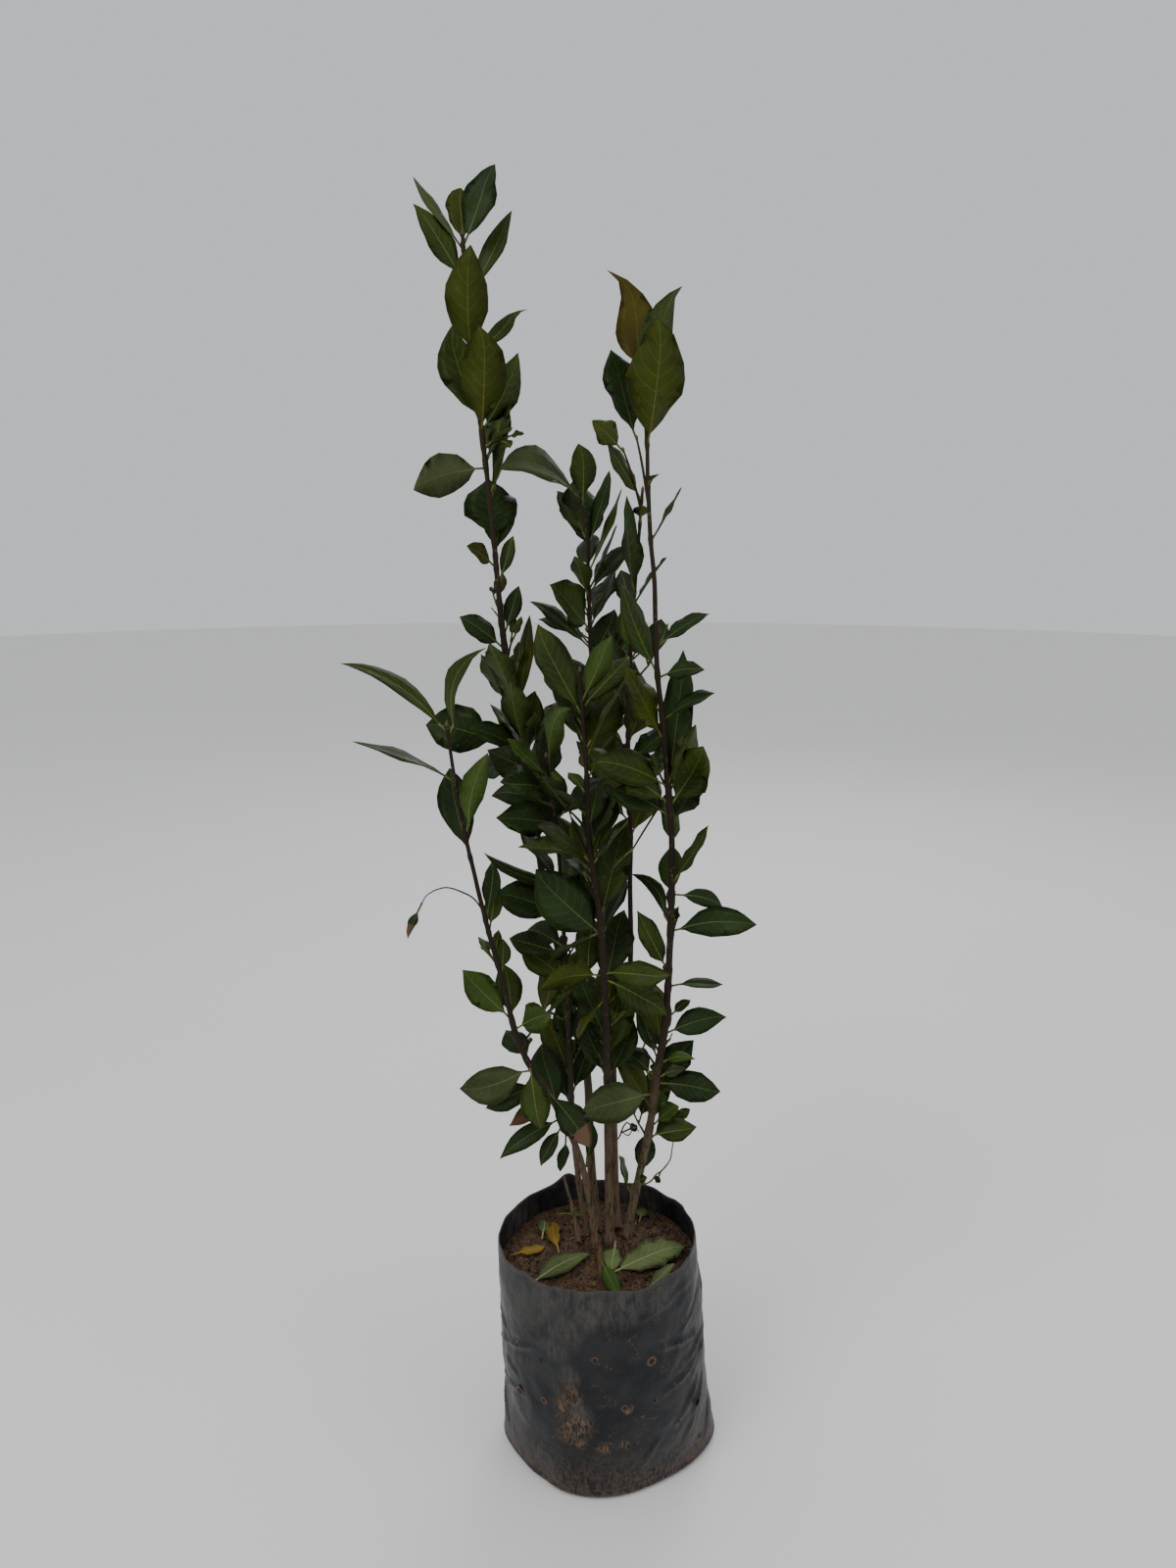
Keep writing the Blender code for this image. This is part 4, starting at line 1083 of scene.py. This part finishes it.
# creases as (degrees round the bag, millimetres up) at both ends, and how far they stand out
creases = (((357, 135), (314, 119), 1.5), ((348, 135), (300, 155), 1.2), ((337, 115), (304, 106), 1.2),
           ((335, 96), (312, 67), 1.1), ((334, 75), (319, 37), 1.0), ((188, 119), (230, 149), 1.3),
           ((188, 80), (220, 92), 1.0), ((265, 217), (294, 199), 0.9), ((286, 199), (242, 202), -0.8),
           ((360, 185), (357, 145), 1.1), ((182, 60), (196, 24), 1.4), ((352, 52), (342, 18), 1.3),
           ((20, 160), (64, 131), 1.3), ((10, 96), (47, 118), 1.1), ((38, 70), (21, 33), 1.1),
           ((150, 150), (112, 118), 1.3), ((162, 98), (128, 84), 1.2), ((95, 196), (66, 178), 0.9),
           ((140, 60), (120, 24), 1.0), ((88, 110), (82, 60), 0.8), ((330, 200), (285, 186), 1.0),
           ((352, 178), (322, 160), 1.2), ((356, 128), (330, 104), 1.2), ((343, 88), (322, 58), 1.0),
           ((181, 146), (206, 140), 1.3), ((200, 112), (214, 106), 0.9), ((238, 60), (226, 20), 0.8),
           ((272, 184), (249, 150), 0.7), ((300, 60), (286, 24), 0.8))
# soft dents and bulges: degrees, millimetres up, how far round and up they reach, how far out
bulges = ((246, 0, 26, 60, 4.4), (302, 0, 24, 45, -5.6), (50, 220, 26, 60, 3.2), (148, 200, 24, 60, -3.2),
          (318, 195, 10, 22, -2.2), (331, 188, 8, 26, 1.8), (284, 208, 9, 14, 1.6), (231, 12, 7, 14, -2.4))
# drainage holes as (degrees, millimetres up, radius); the back has the same rows as the front
holes = ((217.3, 141, 2.6), (235.1, 140, 2.6), (217, 90.6, 3.6), (235.3, 97.3, 2.6), (297.5, 143, 3.4),
         (314.3, 147, 2.6), (314.5, 104.7, 2.6), (297.2, 102.7, 2.6), (313.2, 65.9, 2.6),
         (330.9, 68.3, 2.4), (335.2, 24.1, 2.4), (296.3, 21.7, 2.4), (280.3, 101.9, 2.4),
         (266.2, 153.3, 2.3), (233.4, 49.8, 2.4), (281.2, 59.5, 2.2))
backHoles = [(angle + 180, height, radius) for angle, height, radius in holes]


def alongSegment(x, y, a, b):
    # share along a segment and distance from it
    dx, dy = b[0] - a[0], b[1] - a[1]
    share = min(1, max(0, ((x - a[0]) * dx + (y - a[1]) * dy) / (dx * dx + dy * dy)))
    return share, math.hypot(x - a[0] - share * dx, y - a[1] - share * dy)


def creaseLift(degrees, height):
    # how far the sharp folds push the wall out at a place
    girth = bag["meanRadius"] * math.radians(1)
    lift = 0
    for start, end, depth in creases:
        for lap in (-360, 0, 360):
            ends = [((angle + lap) * girth, z * mm) for angle, z in (start, end)]
            x = degrees * girth
            if min(p[0] for p in ends) - 0.02 < x < max(p[0] for p in ends) + 0.02:
                share, apart = alongSegment(x, height, *ends)
                ridge = math.exp(-(apart / bag["creaseWidth"]) ** 2)
                valley = math.exp(-((apart - 2.2 * bag["creaseWidth"]) / (1.6 * bag["creaseWidth"])) ** 2)
                fade = 0.35 + 0.65 * math.sin(math.pi * share)
                lift += bag["creaseRise"] * depth * (ridge - 0.45 * valley) * fade
    return lift


def bulgeLift(degrees, height):
    lift = 0
    for angle, up, reach, tall, out in bulges:
        aside = around(degrees, angle) / reach
        lift += out * mm * math.exp(-aside ** 2 - ((height / mm - up) / tall) ** 2)
    return lift


def crumple(degrees, angle, height):
    # how far the film's roughness stands out: slack waves, ridges, fine grain, creases, less the seam
    here = Vector((math.cos(angle) * bag["meanRadius"], math.sin(angle) * bag["meanRadius"], height))
    soft = noise.noise(here * bag["softScale"] + Vector((3, 1, 7))) * bag["crumple"]
    ridged = 1 - 2 * abs(noise.noise(here * Vector(bag["ridgeScale"]) + Vector((5, 9, 2))))
    fine = noise.noise(here * bag["fineScale"]) * bag["fineRise"]
    lift = soft + (ridged - 0.6) * bag["wrinkle"] + fine + creaseLift(degrees % 360, height)
    seam = math.exp(-((height - bag["seamHeight"]) / bag["seamWidth"]) ** 2)
    return lift * smoothStep(0, 0.02, height) - bag["seamDepth"] * seam


def wallPoint(degrees, height, inset=0.0, rough=1.0):
    # a point of the wall, so far inside it
    angle = math.radians(degrees)
    share = height / bag["height"]
    nearFloor = max(0.0, 1 - height / (0.35 * bag["height"]))
    edge = 0
    if height < bag["edge"]:
        edge = bag["edge"] * (1 - math.sqrt(1 - (1 - height / bag["edge"]) ** 2))
    belly = bag["belly"] * math.sin(math.pi * share)
    half = [foot + (rim - foot) * share + belly for foot, rim in zip(bag["foot"], bag["rim"])]
    corner = bag["corner"] * nearFloor ** 1.5 * abs(math.cos(angle)) ** 14
    lift = rough * crumple(degrees, angle, height) + bulgeLift(degrees, height) + bag["lift"]
    out = 1 - (inset + edge - corner - lift) / half[0]
    return Vector((bag["rimShift"] * share + half[0] * out * math.cos(angle),
                   half[1] * out * math.sin(angle), height))


def rimHeight(degrees):
    # the cut edge waves a little and kicks up where the film is folded over
    wave = math.sin(math.radians(3 * degrees + 40)) + 0.6 * math.sin(math.radians(7 * degrees + 10))
    wave += 0.7 * math.sin(math.radians(13 * degrees + 60))
    bump = math.exp(-(around(degrees, bag["bumpAngle"]) / 7) ** 2)
    return bag["height"] + bag["rimWave"] * wave * 0.6 + bag["bumpHeight"] * bump


def buildBag():
    turns = [360 * k / bag["sides"] for k in range(bag["sides"])]

    def ring(level, inset):
        # level 0 to 1 runs from the underside to the waving rim
        return [wallPoint(turn, level * rimHeight(turn), inset) for turn in turns]

    wall = bag["wall"]
    rings = [[Vector((p.x * s, p.y * s, bag["floorLift"])) for p in ring(0, 0)] for s in (0.3, 0.75, 0.96)]
    shares = [0, 0.006, 0.014, 0.022, 0.03]
    shares += [0.04 + 0.96 * k / bag["levels"] for k in range(bag["levels"] + 1)]
    rings += [ring(share, 0) for share in shares]
    rings.append([p + Vector((0, 0, bag["lipRound"])) for p in ring(1, 0.5 * wall)])
    inside = (1, 0.985, 0.96, 0.93, 0.9, 0.87, 0.8, 0.6, 0.3, 0.08, 0.015)
    rings += [ring(share, wall) for share in inside]
    rings.append([Vector((p.x * 0.4, p.y * 0.4, p.z)) for p in ring(0.015, wall)])
    # the cut edge is painted pale as a painted highlight: 1 on the lip, nothing a few millimetres below it
    wearAndSheen = [max(0.0, 1 - bag["lipFade"] * (1 - share)) for share in (0, 0, 0, *shares, 1, *inside, 0)]
    piece = closed("bag_film", rings)
    give(piece, lip=[value for value in wearAndSheen for _ in turns])
    piece.data.materials.append(finish("polythene_black", bagPaint))
    return piece


film = dict(base=(0.0055, 0.0064, 0.0080), wearAndSheen=(0.0155, 0.0165, 0.0185), dust=(0.092, 0.085, 0.075),
            # inner and innerPale colour the middle of a drainage hole: painted shade
            mud=(0.17, 0.105, 0.062), speckle=(0.10, 0.060, 0.040), inner=(0.006, 0.006, 0.006),
            innerPale=(0.016, 0.012, 0.010),
            # the lip colour is a painted highlight along the cut edge
            rust=(0.10, 0.048, 0.024), lip=(0.060, 0.056, 0.050), gloss=0.35,
            dustPatches=((240, 206, 30), (262, 204, 30), (284, 206, 24), (250, 178, 26), (226, 190, 26),
                         (244, 156, 20), (250, 134, 15), (306, 200, 16), (256, 96, 12), (70, 190, 40),
                         (110, 150, 26), (150, 196, 34), (205, 205, 22), (335, 206, 14), (322, 120, 9)),
            mudPatches=((251, 110, 15), (247, 99, 11), (254, 80, 18), (247, 68, 11), (256, 64, 9),
                        (279, 62, 6), (268, 58, 8), (282, 100, 6), (90, 90, 12), (60, 60, 9), (120, 70, 8)))


def patches(place, rows, ragged):
    # soft-edged patches round points of the wall
    total = 0.0
    for degrees, up, size in rows:
        radius = size * mm
        far = place.calc("DISTANCE", tuple(wallPoint(degrees, up * mm))) + (ragged - 0.5) * (1.5 * radius)
        total = far.spread(1.1 * radius, 0.35 * radius, kind="SMOOTHSTEP").calc("MAXIMUM", total)
    return total


def bagPaint(place):
    ragged, cloud = place.grain(160, 6, 0.75), place.grain(26, 5, 0.6)
    streak = place.grain(190, 6, 0.72, (1, 1, 0.24))
    height = place.parts()[2]
    # dust lies in streaks and flecks, thickest under the rim
    veil = patches(place, film["dustPatches"], cloud) + height.spread(0.17, 0.22, 0.0, 0.3)
    dust = veil * streak.spread(0.38, 0.62, 0.12, 1.0) + ragged.spread(0.56, 0.70, 0.0, 0.22)
    dust = dust.calc("MINIMUM", 1.0)
    speckle = place.grain(480, 3, 0.6).spread(0.55, 0.62) * place.grain(75, 3, 0.6).spread(0.54, 0.66)
    fibre = place.grain(420, 6, 0.8, (1, 1, 0.4)).spread(0.44, 0.56)
    foot = height.spread(60 * mm, 3 * mm) * fibre.spread(0.15, 0.9)
    mud = patches(place, film["mudPatches"], ragged) * fibre * 0.9
    colour = cloud.spread(0.42, 0.62).blend(film["base"], film["wearAndSheen"])
    colour = (dust * 0.62).blend(colour, film["dust"])
    # painted highlight: a pale band along the cut edge, inside and out
    colour = (place.sheet.mark("lip") * cloud.spread(0.35, 0.6, 0.2, 0.9)).blend(colour, film["lip"])
    colour = (foot * 0.85).calc("MAXIMUM", speckle * 0.8).blend(colour, film["speckle"])
    rough = cloud.spread(0.3, 0.7, film["gloss"] - 0.05, film["gloss"] + 0.07)
    # fine crumple over broad slack folds
    crumpled = place.grain(34.0, 6.0, 0.6, swirl=0.8)
    return {"Base Color": mud.blend(colour, film["mud"]),
            "Roughness": rough + dust.calc("MAXIMUM", mud) * 0.38, "Specular IOR Level": 0.23,
            "Normal": (crumpled + mud * 0.3).relief(2.4 * mm, 0.75)}


settle(buildBag(), "bag", "nursery_bag")


def lipPaint(place):
    stain = place.grain(60, 2).spread(0.44, 0.56)
    return {"Base Color": stain.blend(film["wearAndSheen"], film["rust"]), "Roughness": 0.45,
            "Specular IOR Level": 0.3, "Normal": place.grain(500, 3).relief(0.2 * mm, 0.5)}


# painted shade: the middle of every drainage hole is painted near black
def holeShadePaint(place):
    return {"Base Color": place.grain(300, 3).blend(film["inner"], film["innerPale"]), "Roughness": 0.95}


# rings as (radius, height) shares, the height pressed down by proud
punch = dict(sides=14, proud=0.28, rings=((1.45, -0.1), (1.25, 0.28), (1.02, 0.34), (0.9, 0.12), (0.8, 0.06)))


def holeBlank():
    # the punched hole: a low stretched lip round a middle painted dark, a painted shade for the hole; its
    # radius is 1
    rings = [circle(out, up * punch["proud"], punch["sides"]) for out, up in punch["rings"]]
    piece = closed("holeBlank", rings, smooth=False)
    give(piece, "FACE", dark=[0.0] * (len(piece.data.polygons) - 1) + [1.0])
    return piece


def holeRows():
    # place, way and radius of every hole, square to the wall
    for degrees, up, radius in (*holes, *backHoles):
        side = wallPoint(degrees + 1.5, up * mm) - wallPoint(degrees - 1.5, up * mm)
        rise = wallPoint(degrees, (up + 2) * mm) - wallPoint(degrees, (up - 2) * mm)
        yield wallPoint(degrees, up * mm), side.cross(rise).normalized(), radius * mm


settle(standing("bag_holes", holeBlank(), holeRows(), finish("hole_lip", lipPaint),
                finish("hole_dark", holeShadePaint)), "bag")
print("bag made:", len(holes) * 2, "holes")


# potting soil: reddish granular compost with lumps, crumbs and a low mound round the stems

soil = dict(centre=(0, 24 * mm), crown=4.6 * mm, reach=95 * mm, sunk=0.6 * mm, relief=2.9 * mm,
            grainRelief=0.9 * mm, lumpScale=(70, 160), gritScale=(420, 900),
            sides=200, rings=64, middle=-11.7 * mm, bedMiddle=-12 * mm,
            # dark is the compost's dark tone and also the painted shade in the grain's hollows
            dark=(0.012, 0.0065, 0.004), base=(0.078, 0.042, 0.018), ochre=(0.21, 0.115, 0.040),
            crumbs=76000.0, crumbSize=(0.6 * mm, 2.4 * mm), seed=4)


def soilTop(x, y):
    # height of the surface, with the mound and its lumps
    here = Vector((x, y, 0))
    far = math.hypot(x - soil["centre"][0], y - soil["centre"][1]) / soil["reach"]
    mound = soil["crown"] * (1 - smoothStep(0.15, 0.85, far))
    coarse, finer = soil["lumpScale"]
    lumps = abs(noise.noise(here * coarse)) + 0.6 * abs(noise.noise(here * finer + Vector((4, 4, 4))))
    coarse, finer = soil["gritScale"]
    grit = noise.noise(here * coarse) + 0.6 * noise.noise(here * finer)
    level = bag["soilLevel"] - soil["sunk"]
    return level + mound + soil["relief"] * (lumps - 0.25) + soil["grainRelief"] * grit


def buildSoil():
    turns = [360 * k / soil["sides"] for k in range(soil["sides"])]
    rim = [wallPoint(turn, bag["soilLevel"], bag["wall"] + 0.1 * mm) for turn in turns]
    rings = [[wallPoint(turn, level * mm, bag["wall"] + 3.5 * mm, rough=0) for turn in turns]
             for level in (4, 60, 130, 180)]
    centre = Vector((soil["middle"], 0, bag["soilLevel"]))
    for k in range(soil["rings"]):
        flat = [centre.lerp(point, 1 - k / soil["rings"]) for point in rim]
        rings.append([Vector((p.x, p.y, soilTop(p.x, p.y))) for p in flat])
    piece = closed("soil_body", rings, peak=Vector((centre.x, centre.y, soilTop(centre.x, centre.y))))
    piece.data.materials.append(finish("soil_compost", soilPaint))
    return piece


def soilPaint(place):
    fine, lump = place.grain(700, 4, 0.7), place.grain(120, 4, 0.6)
    colour = lump.spread(0.35, 0.62).blend(soil["dark"], soil["base"])
    colour = fine.spread(0.52, 0.7).blend(colour, soil["ochre"])
    # painted shade: the grain's low points, the hollows of its bump, are painted dark
    colour = fine.spread(0.45, 0.3).blend(colour, soil["dark"])
    return {"Base Color": colour, "Roughness": 0.95, "Normal": fine.relief(1.0 * mm, 0.9)}


def crumbPaint(place, colour):
    return {"Base Color": place.grain(900, 3, 0.6).blend(times(0.6, colour), colour), "Roughness": 0.95}


def crumbBlank(draw):
    # a lump of twenty faces, knocked out of round
    bm = bmesh.new()
    bmesh.ops.create_icosphere(bm, subdivisions=1, radius=1)
    for vert in bm.verts:
        vert.co *= draw.uniform(0.65, 1.15)
        vert.co.z *= 0.75
    piece = shape("crumbBlank", [], [], smooth=False)
    bm.to_mesh(piece.data)
    bm.free()
    return piece


def crumbTree():
    # strews one kind of crumb over the soil at random turns and sizes
    sheet, given = newTree("strewCrumbs", Object="Blank", Float="Density Smallest Largest", Int="Seed",
                           Material="Skin")
    strewn = sheet.get("GeometryNodeDistributePointsOnFaces", {
        "Mesh": given["Geometry"], "Density": given["Density"], "Seed": given["Seed"]}, "Points")
    size = sheet.get("FunctionNodeRandomValue", {"Seed": given["Seed"]}, 1, data_type="FLOAT") ** 3.0
    turn = sheet.get("FunctionNodeRandomValue", {"Min": (0, 0, 0), "Max": (6.3, 6.3, 6.3), "Seed": 9}, 0,
                     data_type="FLOAT_VECTOR")
    made = sheet.copies(given, Points=strewn,
                        Rotation=sheet.get("FunctionNodeEulerToRotation", {"Euler": turn}),
                        Scale=size.spread(0.0, 1.0, given["Smallest"], given["Largest"]))
    return sheet.end(sheet.dress(made, given["Skin"]))


def strewSoil():
    # crumbs lie only inside the wall, on a copy of the surface that ends short of it
    draw = random.Random(soil["seed"])
    tree = crumbTree()
    rings = [[Vector((p.x * share + soil["bedMiddle"] * (1 - share), p.y * share, 0))
              for p in (wallPoint(7.5 * k, bag["soilLevel"], 5 * mm) for k in range(48))]
             for share in (1, 0.8, 0.6, 0.4, 0.2, 0.01)]
    bedPoints = [Vector((p.x, p.y, soilTop(p.x, p.y) + 0.2 * mm)) for each in rings for p in each]
    kinds = (("dark", 0.34, 1.0, (0.016, 0.009, 0.006)), ("brown", 0.40, 1.0, (0.080, 0.039, 0.020)),
             ("ochre", 0.2, 0.8, (0.20, 0.098, 0.040)), ("pale", 0.06, 0.6, (0.24, 0.19, 0.13)))
    for k, (name, share, size, colour) in enumerate(kinds):
        bed = shape(f"crumbs_{name}", bedPoints, ringFaces(6, 48), smooth=False)
        lump = crumbBlank(draw)
        runTree(bed, tree, dict(Blank=lump, Density=soil["crumbs"] * share, Seed=11 + k,
                                Smallest=soil["crumbSize"][0], Largest=soil["crumbSize"][1] * size,
                                Skin=finish(f"crumb_{name}", crumbPaint, colour)))
        bpy.data.objects.remove(lump)
        settle(bed, "soil")


settle(buildSoil(), "soil", "potting_soil")
strewSoil()


# leaves that have fallen on the soil: (x, y) of the stalk's end and of the tip in millimetres,
# width, roll, colour, how far each end is held up, and the tip's curl

fallen = (((-75, -44), (-20, -6), 22, 12, "litter", (3, 6), 0.03),
          ((5, 6), (1, -29), 20, -14, "litter", (6, 3), 0.04),
          ((-10, -16), (7, -62), 15, 20, "fresh", (5, 2), 0.05),
          ((29, -58), (59, -29), 17, -25, "litter", (3, 12), -0.04),
          ((-96, -4), (-62, 9), 13, 15, "yellow", (3, 3), 0.06),
          ((-49, -3), (-59, 53), 16, -20, "yellow", (3, 4), 0.10),
          ((-66, 21), (-65, 53), 14, 10, "litter", (2, 3), 0.05),
          ((-53, 60), (-24, 53), 7, 30, "mid", (4, 4), 0.04),
          ((29, 42), (35, 68), 14, 10, "pale", (4, 4), 0.03),
          ((-10, 18), (-11, -37), 7, 15, "dry", (4, 3), 0.05),
          ((-49, 83), (-29, 83), 13, 0, "dry", (3, 3), 0.08))
wavy = dict(leafForm, outline=((0.05, 0.3), (0.11, 0.55), (0.18, 0.7), (0.26, 0.86), (0.34, 0.93),
                               (0.43, 1.0), (0.52, 0.97), (0.61, 0.96), (0.7, 0.84), (0.78, 0.74),
                               (0.86, 0.52), (0.93, 0.34), (0.97, 0.14)),
            sizes=dict(leafForm["sizes"], Waves=24.0, Cup=0.0, Fold=0.12))


def lying(base, tip, width, roll, tint, up, curl):
    # a leaf between two places of the soil's surface
    ends = [Vector((x * mm, y * mm, soilTop(x * mm, y * mm) + lift * mm))
            for (x, y), lift in ((base, up[0]), (tip, up[1]))]
    way = ends[1] - ends[0]
    turn = math.degrees(math.atan2(way.y, way.x))
    rise = math.degrees(math.asin(way.z / way.length))
    leaf = Leaf(ends[0], turn, rise, way.length, width * mm, roll)
    leaf.tint, leaf.look = tint, dict(curl=curl)
    leaf.bow *= 0.35
    return leaf


settle(leafPiece("leaves_fallen", [lying(*row) for row in fallen], blank), "foliage")
wavyBlank = leafBlank(wavy, "wavyBlank", scallops=0.06)
settle(leafPiece("leaf_fallen_wavy", [lying((1, -32), (70, 6), 33, 8, "litter", (4, 9), 0.02)],
                 wavyBlank, wavy), "foliage")
bpy.data.objects.remove(wavyBlank)

# a broken stick between two places of the soil
stick = dict(start=(-43, 17), end=(-5, 34), points=9, lift=1.5 * mm, radius=0.7 * mm, sides=8)
stickPath = []
for k in range(stick["points"]):
    x, y = Vector(stick["start"]).lerp(Vector(stick["end"]), k / (stick["points"] - 1)) * mm
    stickPath.append((Vector((x, y, soilTop(x, y) + stick["lift"])), stick["radius"]))
settle(woodPiece("stick_fallen", [stickPath], stick["sides"]), "soil")
print("soil and fallen leaves laid")


# floor, light and camera

studio = dict(floorRadius=9.0, floorLevel=-0.5 * mm, floorColour=(0.86, 0.855, 0.84),
              skyColour=(0.95, 0.97, 1.0), skyStrength=0.7,
              cameraPlace=growth["eye"], cameraTilt=13.2, lens=25.99)
# place, size and power of the lamps, which all look at the middle of the plant
lamps = dict(light_key=((-1.4, -1.6, 2.6), 1.6, 30), light_fill=((1.9, -1.1, 1.6), 1.8, 10),
             light_back=((0.6, 2.2, 2.2), 1.6, 18))


def putUp(name, data, place):
    holder = bpy.data.objects.new(name, data)
    holder.location = place
    scene.collection.objects.link(holder)
    return holder


def floorPaint(place):
    pale = studio["floorColour"]
    return {"Base Color": place.grain(3, 2).blend(times(0.96, pale), pale), "Roughness": 0.85}


ground = shape("studio_floor", circle(studio["floorRadius"], studio["floorLevel"], 64), [tuple(range(64))],
               smooth=False)
ground.data.materials.append(finish("floor_pale", floorPaint))
for name, (place, size, power) in lamps.items():
    lamp = bpy.data.lights.new(name, "AREA")
    lamp.shape, lamp.size, lamp.energy = "DISK", size, power
    way = Vector((0, 0, 0.6)) - Vector(place)
    putUp(name, lamp, place).rotation_euler = way.to_track_quat("-Z", "Y").to_euler()
world = bpy.data.worlds.new("studio")
world.use_nodes = True
sky = world.node_tree.nodes["Background"].inputs
sky["Color"].default_value = (*studio["skyColour"], 1)
sky["Strength"].default_value = studio["skyStrength"]
scene.world = world
view = bpy.data.cameras.new("view")
view.lens, view.sensor_width, view.sensor_fit = studio["lens"], 36, "AUTO"
scene.camera = putUp("view", view, studio["cameraPlace"])
scene.camera.rotation_euler = (math.radians(90 - studio["cameraTilt"]), 0, 0)
bpy.data.objects.remove(blank)
